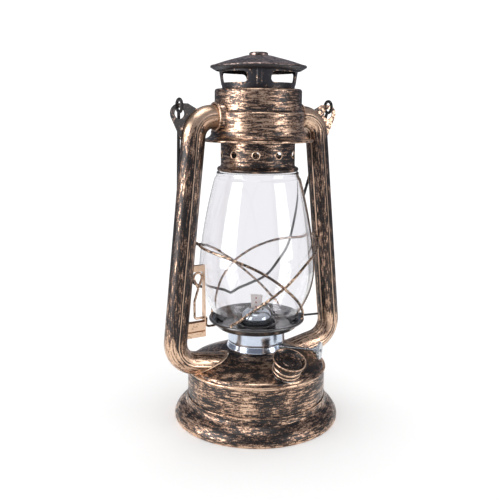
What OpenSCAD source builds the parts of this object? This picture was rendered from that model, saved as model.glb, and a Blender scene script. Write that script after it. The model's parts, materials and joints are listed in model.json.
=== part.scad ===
// Oil lantern with a lifting globe, a sliding hood and a wire bail.
// The axis of the lantern is Z, the floor is z = 0, the air tubes lie in the XZ plane,
// the filler cap is at the front (-Y) and the bail hangs at the back (+Y).

/* [Sheet metal] */
// Thickness of the sheet that the tank, chamber and hood are pressed from
sheet = 0.8; // [0.6:0.1:1]
// Gap between fixed pieces that are soldered or crimped together
seam_gap = 0.05; // [0.02:0.01:0.1]
// Gap between pieces that slide past or rest on one another
slide_gap = 0.4; // [0.3:0.05:0.6]
// Gap around a turning shaft
shaft_gap = 0.07; // [0.03:0.01:0.1]

/* [Foot and tank] */
// Widest radius of the flared foot
foot_r = 71.5; // [68:0.5:76]
// Height of the foot, from the floor to the tank wall
foot_h = 18; // [15:0.5:22]
// Radius of the rolled hem under the foot
hem_r = 1.8; // [1.4:0.1:2.4]
// Radius of the tank wall
tank_r = 59.8; // [57:0.2:62]
// Height of the tank wall above the foot
wall_h = 25.6; // [22:0.2:32]
// Radius of the bead that seams the tank top to the wall
bead_r = 1.4; // [1:0.1:1.8]
// Rise of the tank top from its shoulder to the burner opening
dome_rise = 14; // [11:0.5:17]
// Radius of the burner opening in the tank top
neck_r = 22.7; // [20:0.1:23]

/* [Filler] */
// Distance from the tank wall in to the middle of the filler
filler_reach = 11.3; // [9.8:0.1:13.8]
// Outer radius of the filler neck
filler_r = 9.5; // [7:0.1:10]
// Height of the filler neck above the tank top
filler_h = 9.6; // [8:0.1:12]
// Radius of the filler cap's flared rim
filler_cap_r = 14; // [13:0.5:16]
// Thickness of the gasket inside the filler cap
gasket_t = 1.3; // [1:0.1:2]

/* [Burner] */
// Radius of the collar at its lower edge
collar_r = 25.6; // [25:0.1:28]
// Radius of the burner dome
dome_r = 13.2; // [12:0.1:14]
// Height of the burner dome above the globe plate's underside
dome_h = 15.5; // [13:0.5:18]
// Width of the flat wick
wick_w = 9; // [8:0.5:12]
// Thickness of the flat wick
wick_t = 2.6; // [2:0.1:3]
// Length of wick that stands out of the dome
wick_out = 11.5; // [8:0.5:14]
// Direction of the wick shaft around the axis, from +X
shaft_angle = -48; // [-60:1:-35]
// Radius of the wick shaft
shaft_r = 1.25; // [1:0.05:1.4]
// Height of the wick shaft above the collar's lower edge
shaft_rise = 3.4; // [3:0.1:4.5]
// Radius of the wheels that drive the wick
sprocket_r = 4.5; // [4:0.1:5]
// Radius of the wick knob
knob_r = 7.5; // [7:0.5:10]
// Distance of the wick knob from the lantern's axis
knob_reach = 58; // [52:0.5:62]

/* [Globe] */
// Height of the globe plate above the burner opening
plate_rise = 17.6; // [16:0.2:20]
// Outer radius of the globe plate
plate_r = 41.2; // [40:0.2:43]
// Depth of the plate's dish
plate_depth = 5.2; // [4:0.2:7]
// Thickness of the plate
plate_t = 1; // [0.8:0.1:1.4]
// Outer radius of the glass at its foot
glass_foot_r = 33.5; // [31:0.5:34]
// Outer radius of the glass at its belly
glass_belly_r = 49.1; // [46:0.1:50]
// Height of the belly above the foot of the glass
glass_belly_h = 50; // [44:1:56]
// Outer radius of the glass at its mouth
glass_mouth_r = 34.2; // [33:0.2:36]
// Height of the glass
glass_h = 132; // [126:1:140]
// Thickness of the glass
glass_t = 2; // [1.6:0.1:2.6]
// Radius of the guard wires
guard_r = 1.1; // [0.8:0.1:1.3]
// Turn of both guard wires around the axis, in degrees
guard_turn = -6; // [-8:1:0]
// Distance from the mouth of the glass down to the guard wires' tips
guard_drop = 56.6; // [54:0.2:60]
// Travel of the globe when the lever lifts it
globe_travel = 11; // [8:0.5:12]

/* [Air chamber] */
// Height of the bell rim above the mouth of the glass
bell_rise = 24.4; // [22:0.2:28]
// Radius of the bell rim
bell_r = 45.8; // [43:0.2:48]
// Radius of the lower drum
drum_r = 38; // [36.5:0.1:40]
// Height of the lower drum, from the bell rim to the step
drum_h = 24; // [22:0.5:28]
// Radius of the upper drum
upper_r = 35.6; // [35:0.1:37]
// Height of the upper drum, from the step to the top
upper_h = 18.2; // [15:0.2:22]

/* [Hood] */
// Radius of the perforated collar
hood_r = 30.7; // [30:0.1:31.5]
// Number of holes in the perforated collar
hood_holes = 10; // [6:1:12]
// Radius of those holes
hood_hole_r = 2.75; // [2:0.05:3.2]
// Radius of the chimney tube
flue_r = 28.6; // [27:0.1:29]
// Height of the vent crown, from the chamber top to the roof
crown_h = 18.6; // [16:0.2:22]
// Radius of the roof's edge
roof_r = 39.1; // [37:0.1:42]
// Rise of the roof above its edge
roof_rise = 7.4; // [6:0.2:10]
// Width of the hem turned in under the roof's edge
roof_hem = 4.4; // [3:0.2:5]
// Radius of the button on the roof
button_r = 7.7; // [6:0.1:9]

/* [Air tubes] */
// Radius of the air tubes
tube_r = 9.3; // [8.5:0.1:10]
// Height of the ribs that run along the tubes
tube_rib = 0.5; // [0.3:0.1:0.8]
// Distance from the axis to the corner of the upper bend
tube_top_x = 57; // [55:0.5:60]
// Distance from the axis to the corner of the lower bend
tube_foot_x = 78.4; // [76:0.2:82]
// Radius of the upper bend at the tube's centre
bend_top_r = 16.2; // [13:0.2:17]
// Radius of the lower bend at the tube's centre
bend_foot_r = 20; // [17:0.5:22]
// Slope of the lower leg towards the tank, in degrees
leg_tilt = 10.8; // [8:0.2:13]

/* [Bail] */
// Radius of the bail wire
bail_r = 1.25; // [1:0.05:1.4]
// Thickness of the ears that carry the bail
ear_t = 1.2; // [1:0.1:1.6]
// Distance from the axis to the eyes of the bail
bail_x = 70; // [69:0.2:71]
// Length of the bail, from its pivot to its lowest corner
bail_reach = 172.5; // [168:0.5:178]
// Least lean of the bail behind the globe, in degrees
bail_lean = 16.4; // [16:0.1:20]
// Distance from the axis to the bail's first bend
bail_waist_x = 57; // [55:0.5:60]
// Height of that bend above the lowest corner
bail_waist_h = 39; // [35:1:45]
// Distance from the axis to the bail's second bend
bail_hip_x = 38; // [34:0.5:42]
// Height of that bend above the lowest corner
bail_hip_h = 9; // [7:0.5:11]
// Distance from the axis to the corners of the hanging kink
bail_kink_x = 8; // [7:0.5:10]
// Depth of the hanging kink
bail_kink_h = 4.5; // [4:0.5:6]

/* [Lift lever] */
// Radius of the lever wire
lever_r = 0.95; // [0.7:0.05:1]
// Height of the lever's pivot above the globe plate's underside
lever_rise = 13.6; // [13:0.1:15]
// Distance from the axis to the bracket's web
web_x = 50; // [49.8:0.1:51]
// Radius of the finger loop
loop_r = 3.7; // [3:0.1:3.8]
// Height of the finger loop above the pivot
loop_rise = 34.8; // [33:0.2:37]
// Length of the tail below the finger loop
loop_tail = 9.5; // [9:0.1:10.5]
// Distance from the bracket's web out to the lever's arm
arm_reach = 8.9; // [8.5:0.1:10]
// Height of the arm's bend above the pivot
arm_rise = 14.8; // [13:0.2:17]
// Length of the crank under the globe plate
crank = 10.6; // [10.2:0.1:11]

/* [Hidden] */
$fn = 72;

// Heights, from the floor upwards
wall_top = foot_h + wall_h;
bead_z = wall_top + bead_r + seam_gap;
bead_x = tank_r - sheet / 2;
shoulder = [bead_x - 2.4, bead_z + 4];
dome_slope = dome_rise / (shoulder[0] - neck_r);
dome_tilt = atan(dome_slope);
plate_z = shoulder[1] + dome_rise + plate_rise;
glass_z = plate_z + plate_t + seam_gap;
mouth_z = glass_z + glass_h;
bell_z = mouth_z + bell_rise;
step_z = bell_z + drum_h;
chamber_top = step_z + upper_h;
crown_z = chamber_top + slide_gap;
roof_z = crown_z + crown_h;

function dome_at(r) = shoulder[1] + (shoulder[0] - r) * dome_slope;

// Burner
collar_z = dome_at(collar_r - sheet) + seam_gap;
collar_top = plate_z - slide_gap;
deck_t = 1;
deck_z = collar_top - sheet - seam_gap - deck_t;
dome_top = plate_z + dome_h;
shaft_z = collar_z + shaft_rise;
shaft_y = wick_t / 2 + slide_gap + sprocket_r;
wick_wall = 0.7;
wick_tube_w = wick_w + 2 * (slide_gap + wick_wall);
wick_tube_t = wick_t + 2 * (slide_gap + wick_wall);
bush_r = 2.4;
bush_x = sqrt(pow(collar_r - 1.4, 2) - pow(shaft_y, 2));

// Globe plate and its flange
plate_hole_r = dome_r + 3;
plate_flat_r = glass_foot_r + 1.1;
flange_z = plate_z + plate_depth;
lip_r = 1.3;

// Hood
hood_bead_r = 1.7;
hood_bead_z = mouth_z + slide_gap + hood_bead_r;
stop_z = bell_z + 4.6;
stop_r = min(upper_r, drum_r - sheet - seam_gap) - sheet - slide_gap - 0.4;
window_h = 9.2;
window_w = 28.6;
window_z = crown_z + 3.7;
crown_flare = 0.156;
crown_r = flue_r + seam_gap + sheet;

// Air tubes: corners of the centre line in the XZ plane
spout_z = bell_z + 20;
spout_x = drum_r + 2.2;
leg_slope = tan(leg_tilt);
leg_z = dome_at(31) + 0.4 - tube_r / cos(leg_tilt);
tube_start = [drum_r - 0.4, spout_z];
tube_top = [tube_top_x, spout_z];
tube_foot = [tube_foot_x, leg_z + (tube_foot_x - 31) * leg_slope];
tube_end = [24, leg_z - 7 * leg_slope];
rib_angles = [87, 157, 203, 273];
rib_r = 1.1;

function tube_x(z) =
    tube_top[0] + (tube_foot[0] - tube_top[0]) * (tube_top[1] - z) / (tube_top[1] - tube_foot[1]);

// Bail and ears
eye_r = 3.6 + bail_r;
ear_bar = 3.5;
ear_hole_r = 4.2;
pivot_z = spout_z + 8.4;
ear_hole_z = pivot_z - ear_bar / 2 - ear_hole_r;

// Lift lever and bracket, drawn on the +X side and mirrored
lever_z = plate_z + lever_rise;
tip_z = flange_z - 0.35 - lever_r;
tip_y = sqrt(pow(crank, 2) - pow(lever_z - tip_z, 2));
arm_x = web_x + arm_reach;
loop_x = web_x + sheet + slide_gap + lever_r + loop_r;
loop_z = lever_z + loop_rise;
loop_foot = loop_z - loop_tail;

// Plane curves
function unit(v) = v / norm(v);
function left(v) = [-v[1], v[0]];
function arc(c, r, a0, a1, n = 6) =
    [for (i = [0:n]) let (a = a0 + (a1 - a0) * i / n) c + r * [cos(a), sin(a)]];
function bezier(a, b, c, d, n = 10) =
    [for (i = [0:n]) let (t = i / n, s = 1 - t)
        s * s * s * a + 3 * s * s * t * b + 3 * s * t * t * c + t * t * t * d];

// Outline of a sheet of thickness t, on the left of the path
function beside(p, i, t) =
    let (a = unit(left(p[max(i, 1)] - p[max(i, 1) - 1])),
         j = min(i, len(p) - 2),
         b = unit(left(p[j + 1] - p[j])))
    p[i] + t * (a + b) / (1 + a * b);
function ribbon(p, t) =
    concat(p, [for (i = [len(p) - 1:-1:0]) beside(p, i, t)]);

module turned(path, t) {
    rotate_extrude() polygon(ribbon(path, t));
}

module ring(r_out, r_in, h) {
    difference() {
        cylinder(r = r_out, h = h);
        translate([0, 0, -1]) cylinder(r = r_in, h = h + 2);
    }
}

// Round bar between two points
module bar(a, b, r) {
    d = b - a;
    l = norm(d);
    if (l > 0.01)
        translate(a) rotate([0, acos(d[2] / l), atan2(d[1], d[0])]) cylinder(r = r, h = l, $fn = 24);
}

// Wire bent round a line of points, with the bend radius at each inner point;
// a small knuckle joins each bend to the straight beside it
function corner_turn(p, i) = acos(unit(p[i] - p[i - 1]) * unit(p[i + 1] - p[i]));
function corner_reach(p, bends, i) =
    i == 0 || i == len(p) - 1 ? 0 : bends[i - 1] * tan(corner_turn(p, i) / 2);
knuckle_gap = 0.15;
knuckle_rise = 0.05;
module bent_wire(p, bends, r) {
    last = len(p) - 1;
    for (i = [0:last - 1]) {
        d = unit(p[i + 1] - p[i]);
        a = i == 0 ? 0 : corner_reach(p, bends, i) + knuckle_gap;
        b = i == last - 1 ? 0 : corner_reach(p, bends, i + 1) + knuckle_gap;
        bar(p[i] + d * a, p[i + 1] - d * b, r);
    }
    for (i = [1:last - 1]) {
        u = unit(p[i] - p[i - 1]);
        v = unit(p[i + 1] - p[i]);
        n = unit(v - (u * v) * u);
        bend = bends[i - 1];
        reach = corner_reach(p, bends, i);
        c = p[i] - u * reach + n * bend;
        w = cross(u, n);
        trim = knuckle_gap / bend * 180 / PI;
        multmatrix([[-n[0], u[0], w[0], c[0]],
                    [-n[1], u[1], w[1], c[1]],
                    [-n[2], u[2], w[2], c[2]],
                    [0, 0, 0, 1]])
            rotate([0, 0, trim]) rotate_extrude(angle = corner_turn(p, i) - 2 * trim)
                translate([bend, 0]) circle(r, $fn = 24);
        for (q = [p[i] - u * reach, p[i] + v * reach])
            translate(q) sphere(r + knuckle_rise, $fn = 24);
    }
}

// Wire that winds around the axis, swept through points in space
function spline(k, n) =
    concat([for (i = [0:len(k) - 2], j = [0:n - 1])
        let (a = k[max(i - 1, 0)], b = k[i], c = k[i + 1], d = k[min(i + 2, len(k) - 1)], t = j / n)
        b + 0.5 * t * ((c - a) + t * ((2 * a - 5 * b + 4 * c - d) + t * (3 * (b - c) + d - a)))],
        [k[len(k) - 1]]);
module swept(path, r, sides) {
    last = len(path) - 1;
    rings = [for (i = [0:last])
        let (t = unit(path[min(i + 1, last)] - path[max(i - 1, 0)]),
             o = [path[i][0], path[i][1], 0],
             n = unit(o - (o * t) * t),
             b = cross(t, n))
        for (j = [0:sides - 1])
            path[i] + r * (cos(360 * j / sides) * n + sin(360 * j / sides) * b)];
    walls = [for (i = [0:last - 1], j = [0:sides - 1])
        let (k = (j + 1) % sides, a = i * sides, b = a + sides)
        each [[a + j, b + j, b + k], [a + j, b + k, a + k]]];
    ends = [for (j = [1:sides - 2]) each [[0, j, j + 1],
        [last * sides, last * sides + j + 1, last * sides + j]]];
    polyhedron(rings, concat(walls, ends));
}

// Foot and tank
module base_skirt() {
    top = [tank_r + seam_gap, foot_h];
    foot = [foot_r - sheet, hem_r + 1.6];
    curve = bezier(top - [0, 0.6], top + [0.6, -7], foot + [-3, 9], foot, 12);
    path = concat([top + [0, 2]], curve, [foot - [0.2, 1.6]]);
    hem_flat = 0.35;
    color("#5b4030") rotate_extrude() {
        polygon(ribbon(path, sheet));
        difference() {
            translate([foot_r - hem_r, hem_r - hem_flat]) circle(hem_r);
            translate([foot_r - 2 * hem_r, -hem_r]) square([2 * hem_r, hem_r]);
        }
    }
}

module tank_wall() {
    sink = 5;
    color("#6a4a35") translate([0, 0, foot_h - sink]) ring(tank_r, tank_r - sheet, wall_h + sink);
}

module tank_floor() {
    r = tank_r - sheet - seam_gap;
    z = foot_h - 4;
    bend = 2;
    path = concat([[0, z]], arc([r - bend, z + bend], bend, -90, 0), [[r, z + 6]]);
    color("#4a3a30") turned(path, sheet);
}

// Upper face of the tank top, from a radius out to the bead
function tank_top_path(r) =
    concat([[r, dome_at(r)]],
           bezier(shoulder, shoulder + [1, -0.42], shoulder + [1.8, -1.4], [bead_x - 0.2, bead_z + 0.3], 6));

// Space under the tank top, raised by a gap
module dome_block(gap) {
    path = tank_top_path(neck_r - 6);
    raised = [for (i = [0:len(path) - 1]) beside(path, i, gap)];
    rotate_extrude() {
        polygon(concat([[0, raised[0][1]]], raised, [[bead_x, bead_z], [bead_x, 0], [0, 0]]));
        translate([bead_x, bead_z]) circle(bead_r + gap);
    }
}

module at_filler(lift = 0) {
    r = tank_r - filler_reach;
    translate([0, -r, dome_at(r)]) rotate([dome_tilt, 0, 0])
        translate([0, 0, lift]) children();
}

module tank_top() {
    hole_r = neck_r + seam_gap + sheet * sin(dome_tilt);
    color("#6a4a35") {
        difference() {
            turned(tank_top_path(hole_r), -sheet);
            at_filler(-10) cylinder(r = filler_r + seam_gap, h = 20);
        }
        rotate_extrude() translate([bead_x, bead_z]) circle(bead_r);
    }
}

module tank_neck() {
    depth = 7;
    color("#8f8a80") translate([0, 0, collar_z - depth]) ring(neck_r, neck_r - 1.3, depth + 0.6);
}

// Filler
module filler_neck() {
    wall = 1.5;
    flange = 2.2;
    color("#7a6a55") at_filler() difference() {
        union() {
            translate([0, 0, -4]) cylinder(r = filler_r, h = filler_h + 4);
            translate([0, 0, seam_gap]) cylinder(r = filler_r + flange, h = 1);
        }
        translate([0, 0, -5]) cylinder(r = filler_r - wall, h = filler_h + 10);
    }
}

module filler_gasket() {
    color("#26221f") at_filler(filler_h + seam_gap) ring(filler_r + 0.1, filler_r - 1.2, gasket_t);
}

module filler_cap() {
    bore = filler_r + slide_gap;
    ceiling = filler_h + gasket_t + 2 * seam_gap;
    body = bore + 2.1;
    groove = 0.6;
    foot = 1.8;
    rim = ceiling + 4;
    outline = [
        [bore, foot], [body - 0.4, foot],
        [body, foot + 0.5], [body, foot + 1.8],
        [body - groove, foot + 2.4], [body - groove, foot + 3.4],
        [body, foot + 4], [body, foot + 5.4],
        [body - groove - 0.2, foot + 6], [body - groove - 0.2, ceiling - 0.8],
        [filler_cap_r - 0.8, rim - 2.4], [filler_cap_r, rim - 1.2],
        [filler_cap_r, rim - 0.5], [filler_cap_r - 0.5, rim],
        [filler_cap_r - 1.4, rim - 0.6], [filler_cap_r - 2.6, rim - 2],
        [9, ceiling + 1.2], [5.6, ceiling + 1], [4.6, ceiling + 1.5], [2.4, ceiling + 2],
        [0, ceiling + 2.1], [0, ceiling], [bore, ceiling]];
    color("#4d3626") at_filler() rotate_extrude() polygon(outline);
}

// Burner
module at_shaft(x) {
    rotate([0, 0, shaft_angle]) translate([x, -shaft_y, shaft_z]) rotate([0, 90, 0]) children();
}

module burner_collar() {
    path = [[collar_r, collar_z], [collar_r, collar_z + 0.6], [collar_r - 1.5, collar_z + 5],
            [collar_r - 0.9, collar_z + 6.6], [collar_r - 1.2, collar_top - 1.4],
            [collar_r - 2.2, collar_top], [collar_r - 4, collar_top]];
    color("#d5d8e2") difference() {
        turned(path, sheet);
        at_shaft(bush_x - 6) cylinder(r = bush_r + seam_gap, h = 12);
    }
}

module burner_deck() {
    r = collar_r - 2.2 - sheet;
    air_holes = 12;
    air_hole_r = 1.8;
    color("#b9b7b0") translate([0, 0, deck_z]) difference() {
        cylinder(r = r, h = deck_t);
        rotate([0, 0, shaft_angle])
            translate([-wick_tube_w / 2 - seam_gap, -wick_tube_t / 2 - seam_gap, -1])
                cube([wick_tube_w + 2 * seam_gap, wick_tube_t + 2 * seam_gap, deck_t + 2]);
        for (i = [0:air_holes - 1])
            rotate([0, 0, 360 * i / air_holes])
                translate([(dome_r + r) / 2 + 0.4, 0, -1]) cylinder(r = air_hole_r, h = deck_t + 2);
    }
}

module burner_dome() {
    foot = deck_z + deck_t + seam_gap;
    brow = dome_top - 8.6;
    path = concat([[dome_r, foot]],
                  bezier([dome_r, brow], [dome_r, brow + 5.2], [dome_r - 6, dome_top], [1.5, dome_top], 8));
    slot = [wick_tube_w + 2, wick_tube_t + 1];
    air_holes = 12;
    color("#c9ced6") difference() {
        turned(path, sheet);
        rotate([0, 0, shaft_angle])
            translate([-slot[0] / 2, -slot[1] / 2, brow]) cube([slot[0], slot[1], 20]);
        for (i = [0:air_holes - 1])
            rotate([0, 0, 360 * (i + 0.5) / air_holes]) translate([dome_r - 2, 0, (foot + brow) / 2])
                rotate([0, 90, 0]) cylinder(r = 1, h = 4, $fn = 24);
    }
}

module wick_tube() {
    top = dome_top - 3;
    foot = shaft_z - 9;
    cheek = 3;
    inner = [wick_tube_w - 2 * wick_wall, wick_tube_t - 2 * wick_wall];
    color("#a8a294") rotate([0, 0, shaft_angle]) mirror([0, 1, 0]) difference() {
        union() {
            translate([-wick_tube_w / 2, -wick_tube_t / 2, foot])
                cube([wick_tube_w, wick_tube_t, top - foot]);
            translate([-wick_tube_w / 2, 0, shaft_z - cheek])
                cube([wick_tube_w, shaft_y + cheek, 2 * cheek]);
        }
        translate([-inner[0] / 2, -inner[1] / 2, foot - 1]) cube([inner[0], inner[1], top - foot + 2]);
        translate([-inner[0] / 2, 0, shaft_z - sprocket_r - 1])
            cube([inner[0], shaft_y + 20, 2 * sprocket_r + 2]);
        translate([-wick_w, shaft_y, shaft_z]) rotate([0, 90, 0])
            cylinder(r = shaft_r + shaft_gap, h = 2 * wick_w);
    }
}

module wick() {
    foot = foot_h + 10;
    color("#f1ede4") rotate([0, 0, shaft_angle])
        translate([-wick_w / 2, -wick_t / 2, foot]) cube([wick_w, wick_t, dome_top + wick_out - foot]);
}

module shaft_bush() {
    color("#9a968c") at_shaft(bush_x - 3) ring(bush_r, shaft_r + shaft_gap, 7);
}

module wick_shaft() {
    start = -wick_tube_w / 2 - 0.6;
    color("#9d9c9a") at_shaft(start) cylinder(r = shaft_r, h = knob_reach + 2 - start);
}

module wick_sprockets() {
    teeth = 10;
    thick = 1.2;
    root = sprocket_r - 1.1;
    points = [for (i = [0:teeth - 1]) let (a = 360 * i / teeth, s = 360 / teeth)
        each [root * [cos(a), sin(a)], sprocket_r * [cos(a + s / 2), sin(a + s / 2)]]];
    color("#8a8984") for (x = [-wick_w / 4, wick_w / 4])
        at_shaft(x - thick / 2) linear_extrude(thick) difference() {
            polygon(points);
            circle(shaft_r + 0.02);
        }
}

module wick_knob() {
    notches = 24;
    hub_r = 3.2;
    hub_h = 6;
    disc_h = 1.6;
    color("#8e8f92") at_shaft(knob_reach - hub_h + 1) difference() {
        union() {
            cylinder(r = hub_r, h = hub_h);
            translate([0, 0, hub_h - disc_h]) cylinder(r = knob_r, h = disc_h);
            translate([0, 0, hub_h - disc_h - 1]) cylinder(r = knob_r - 2, h = 1);
        }
        translate([0, 0, -1]) cylinder(r = shaft_r + 0.02, h = hub_h + 2);
        for (i = [0:notches - 1])
            rotate([0, 0, 360 * i / notches]) translate([knob_r + 0.35, 0, hub_h - disc_h - 0.5])
                cylinder(r = 0.8, h = disc_h + 1, $fn = 24);
    }
}

// Globe and what lifts with it
module globe_plate() {
    path = [[plate_hole_r, plate_z + 3], [plate_hole_r, plate_z + 0.8], [plate_hole_r + 0.8, plate_z],
            [plate_flat_r, plate_z], [plate_flat_r + 2.6, flange_z], [plate_r - lip_r, flange_z]];
    color("#3b3a3c") rotate_extrude() {
        polygon(ribbon(path, plate_t));
        translate([plate_r - lip_r, flange_z + lip_r]) circle(lip_r);
    }
}

function glass_path() =
    let (foot = [glass_foot_r, glass_z],
         belly = [glass_belly_r, glass_z + glass_belly_h],
         mouth = [glass_mouth_r, mouth_z],
         waist = mouth + [2.2, -7])
    concat([foot],
           bezier(foot + [0, 4.4], foot + [5, 15.4], belly - [0.6, 24], belly, 12),
           [for (p = bezier(belly, belly + [0, 18], waist + [6, -22], waist, 12)) if (p != belly) p],
           bezier(waist + [-0.2, 0.8], waist + [-0.8, 3], mouth + [0, -3.2], mouth + [0, -1.8], 4),
           [mouth]);

module glass_globe() {
    color("#e8e6f4", 0.35) turned(glass_path(), glass_t);
}

// Radius of the glass at a height
function glass_at(z) = let (p = glass_path()) lookup(z, [for (q = p) [q[1], q[0]]]);

// Half of a guard wire: from the plate's flange, round the globe, to its bend at the tube
guard_off = guard_r + 1.5;
guard_tip_z = mouth_z - guard_drop;
function guard_point(a, share, stand) =
    let (z = glass_z + share * glass_belly_h, r = glass_at(z) + guard_off + stand)
    [r * cos(a), r * sin(a), z];
function guard_half(extra) =
    let (end_r = plate_r - lip_r,
         top = flange_z + 2 * lip_r + seam_gap,
         tip_x = tube_x(guard_tip_z + globe_travel) - tube_r - tube_rib - guard_r - 0.3)
    [[end_r * cos(35), -end_r * sin(35), top], [end_r * cos(36), -end_r * sin(36), top + 2],
     guard_point(-47, 0.28, 1.2), guard_point(-60, 0.45, 0), guard_point(-75, 0.66, extra / 2),
     guard_point(-91, 0.9, extra), guard_point(-103, 1.06, extra / 2), guard_point(-117, 1.2, 0),
     guard_point(-138, 1.33, 0.4),
     [-tip_x + 4.4, -13, guard_tip_z - 4], [-tip_x + 1, -4.2, guard_tip_z - 0.6]];

module guard_wire(extra) {
    half = guard_half(extra);
    last = len(half) - 1;
    tip = [half[last][0] - 1, 0, guard_tip_z];
    keys = concat(half, [tip], [for (i = [last:-1:0]) [half[i][0], -half[i][1], half[i][2]]]);
    color("#4a4038") swept(spline(keys, 3), guard_r, 8);
}

module guard_wire_left() {
    rotate([0, 0, guard_turn]) guard_wire(0);
}

module guard_wire_right() {
    rotate([0, 0, guard_turn]) mirror([1, 0, 0]) guard_wire(2 * guard_r + 0.5);
}

module plate_guide() {
    z = flange_z - lever_r - seam_gap;
    end_z = z - 3.6;
    end_x = tube_x(end_z + globe_travel) - tube_r - tube_rib - 0.4;
    path = [[plate_r - 3, 0, z], [plate_r + 3, 0, z], [plate_r + 9, 0, end_z + 0.8], [end_x, 0, end_z]];
    color("#2f2a27") bent_wire(path, [3, 3], lever_r);
}

// Air tubes
module tube_profile(rise = 0) {
    circle(tube_r + rise, $fn = 48);
    for (a = rib_angles) rotate(a) translate([tube_r + tube_rib - rib_r, 0]) circle(rib_r + rise, $fn = 16);
}

module tube_wall(rise = 0) {
    difference() {
        tube_profile(rise);
        circle(tube_r - sheet - rise, $fn = 48);
    }
}

// Narrow band that joins a bend to the straight beside it
module tube_band(p, d) {
    tube_run(p - 2 * knuckle_gap * d, p + 2 * knuckle_gap * d) tube_wall(knuckle_rise);
}

// Straight run of a tube from p to q in the XZ plane
module tube_run(p, q) {
    d = q - p;
    translate([p[0], 0, p[1]]) rotate([0, atan2(d[0], d[1]), 0]) linear_extrude(norm(d)) children();
}

// Bend of a tube that arrives at p along d and turns inwards
module tube_bend(p, d, bend_r, turn) {
    trim = knuckle_gap / bend_r * 180 / PI;
    translate([p[0], 0, p[1]]) rotate([0, atan2(d[0], d[1]), 0]) rotate([90, 0, 180])
        translate([-bend_r, 0, 0]) rotate([0, 0, trim]) rotate_extrude(angle = turn - 2 * trim, $fn = 48)
            translate([bend_r, 0]) mirror([1, 0, 0]) tube_wall();
}

module air_tube() {
    d0 = unit(tube_top - tube_start);
    d1 = unit(tube_foot - tube_top);
    d2 = unit(tube_end - tube_foot);
    turn_top = acos(d0 * d1);
    turn_foot = acos(d1 * d2);
    reach_top = bend_top_r * tan(turn_top / 2);
    reach_foot = bend_foot_r * tan(turn_foot / 2);
    lip = 1.2;
    flange = 1.8;
    a = tube_top - d0 * reach_top;
    b = tube_top + d1 * reach_top;
    c = tube_foot - d1 * reach_foot;
    e = tube_foot + d2 * reach_foot;
    tube_run(tube_start, a - d0 * knuckle_gap) tube_wall();
    tube_band(a, d0);
    tube_bend(a, d0, bend_top_r, turn_top);
    tube_band(b, d1);
    tube_run(b + d1 * knuckle_gap, c - d1 * knuckle_gap) tube_wall();
    tube_band(c, d1);
    tube_bend(c, d1, bend_foot_r, turn_foot);
    tube_band(e, d2);
    difference() {
        union() {
            tube_run(e + d2 * knuckle_gap, tube_end) tube_profile();
            intersection() {
                tube_run(e + d2, tube_end) circle(tube_r + flange);
                dome_block(seam_gap + lip);
            }
        }
        tube_run(e - d2, tube_end + d2) circle(tube_r - sheet, $fn = 48);
        dome_block(seam_gap);
    }
}

module right_tube() {
    color("#7a5236") air_tube();
}

module left_tube() {
    color("#7a5236") mirror([1, 0, 0]) air_tube();
}

// Bail and ears
module ear() {
    d0 = [1, 0];
    d1 = unit(tube_foot - tube_top);
    reach = bend_top_r * tan(acos(d0 * d1) / 2);
    centre = tube_top - d0 * reach - [0, bend_top_r];
    low = tube_top + d1 * (reach + 4);
    hub_r = 7.7;
    color("#4d3626") translate([0, ear_t / 2, 0]) rotate([90, 0, 0]) linear_extrude(ear_t) difference() {
        polygon(concat(
            [centre + [0, bend_top_r], [tube_top[0] + 1, pivot_z - 1], [bail_x - 7, pivot_z + ear_bar / 2],
             [bail_x, pivot_z + ear_bar / 2]],
            arc([bail_x, ear_hole_z], hub_r, 70, -35),
            [low + [tube_r + tube_rib, 0], low]));
        translate([bail_x, ear_hole_z]) circle(ear_hole_r);
        translate(centre) circle(bend_top_r + tube_r + seam_gap);
        translate(centre) rotate(90 - acos(d0 * d1))
            translate([0, -20]) square([bend_top_r + tube_r + seam_gap, 20]);
    }
}

module right_ear() { ear(); }

module left_ear() {
    mirror([1, 0, 0]) ear();
}

module bail() {
    path = [[bail_x, 0, -eye_r - 0.5], [bail_waist_x, 0, bail_waist_h - bail_reach],
            [bail_hip_x, 0, bail_hip_h - bail_reach], [bail_kink_x, 0, -bail_reach],
            [0, 0, -bail_reach - bail_kink_h]];
    low_z = pivot_z - bail_reach * cos(bail_lean);
    stand = glass_at(low_z) + guard_off + 2 * guard_r + bail_r;
    lean = max(bail_lean, asin(stand / bail_reach));
    color("#3a302a") translate([0, 0, pivot_z]) rotate([lean, 0, 0]) {
        for (s = [0, 1]) mirror([s, 0, 0]) {
            bent_wire(path, [bail_waist_h, 3 * bail_hip_h, bail_kink_x], bail_r);
            translate([bail_x, 0, 0]) rotate([0, 90, 0]) rotate_extrude($fn = 40)
                translate([eye_r, 0]) circle(bail_r, $fn = 24);
            translate([bail_x, 0, -eye_r]) sphere(bail_r + 0.12, $fn = 24);
        }
        translate([0, 0, -bail_reach - bail_kink_h]) sphere(bail_r + 2 * knuckle_rise, $fn = 24);
    }
}

// Lift lever and its bracket
module bracket_tab(z0, z1, half_w) {
    for (y = [-half_w, half_w - sheet])
        translate([web_x, y, z0]) cube([tube_x(z0) - web_x, sheet, z1 - z0]);
    translate([web_x, -half_w, z0]) cube([sheet, 2 * half_w, z1 - z0]);
}

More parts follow.
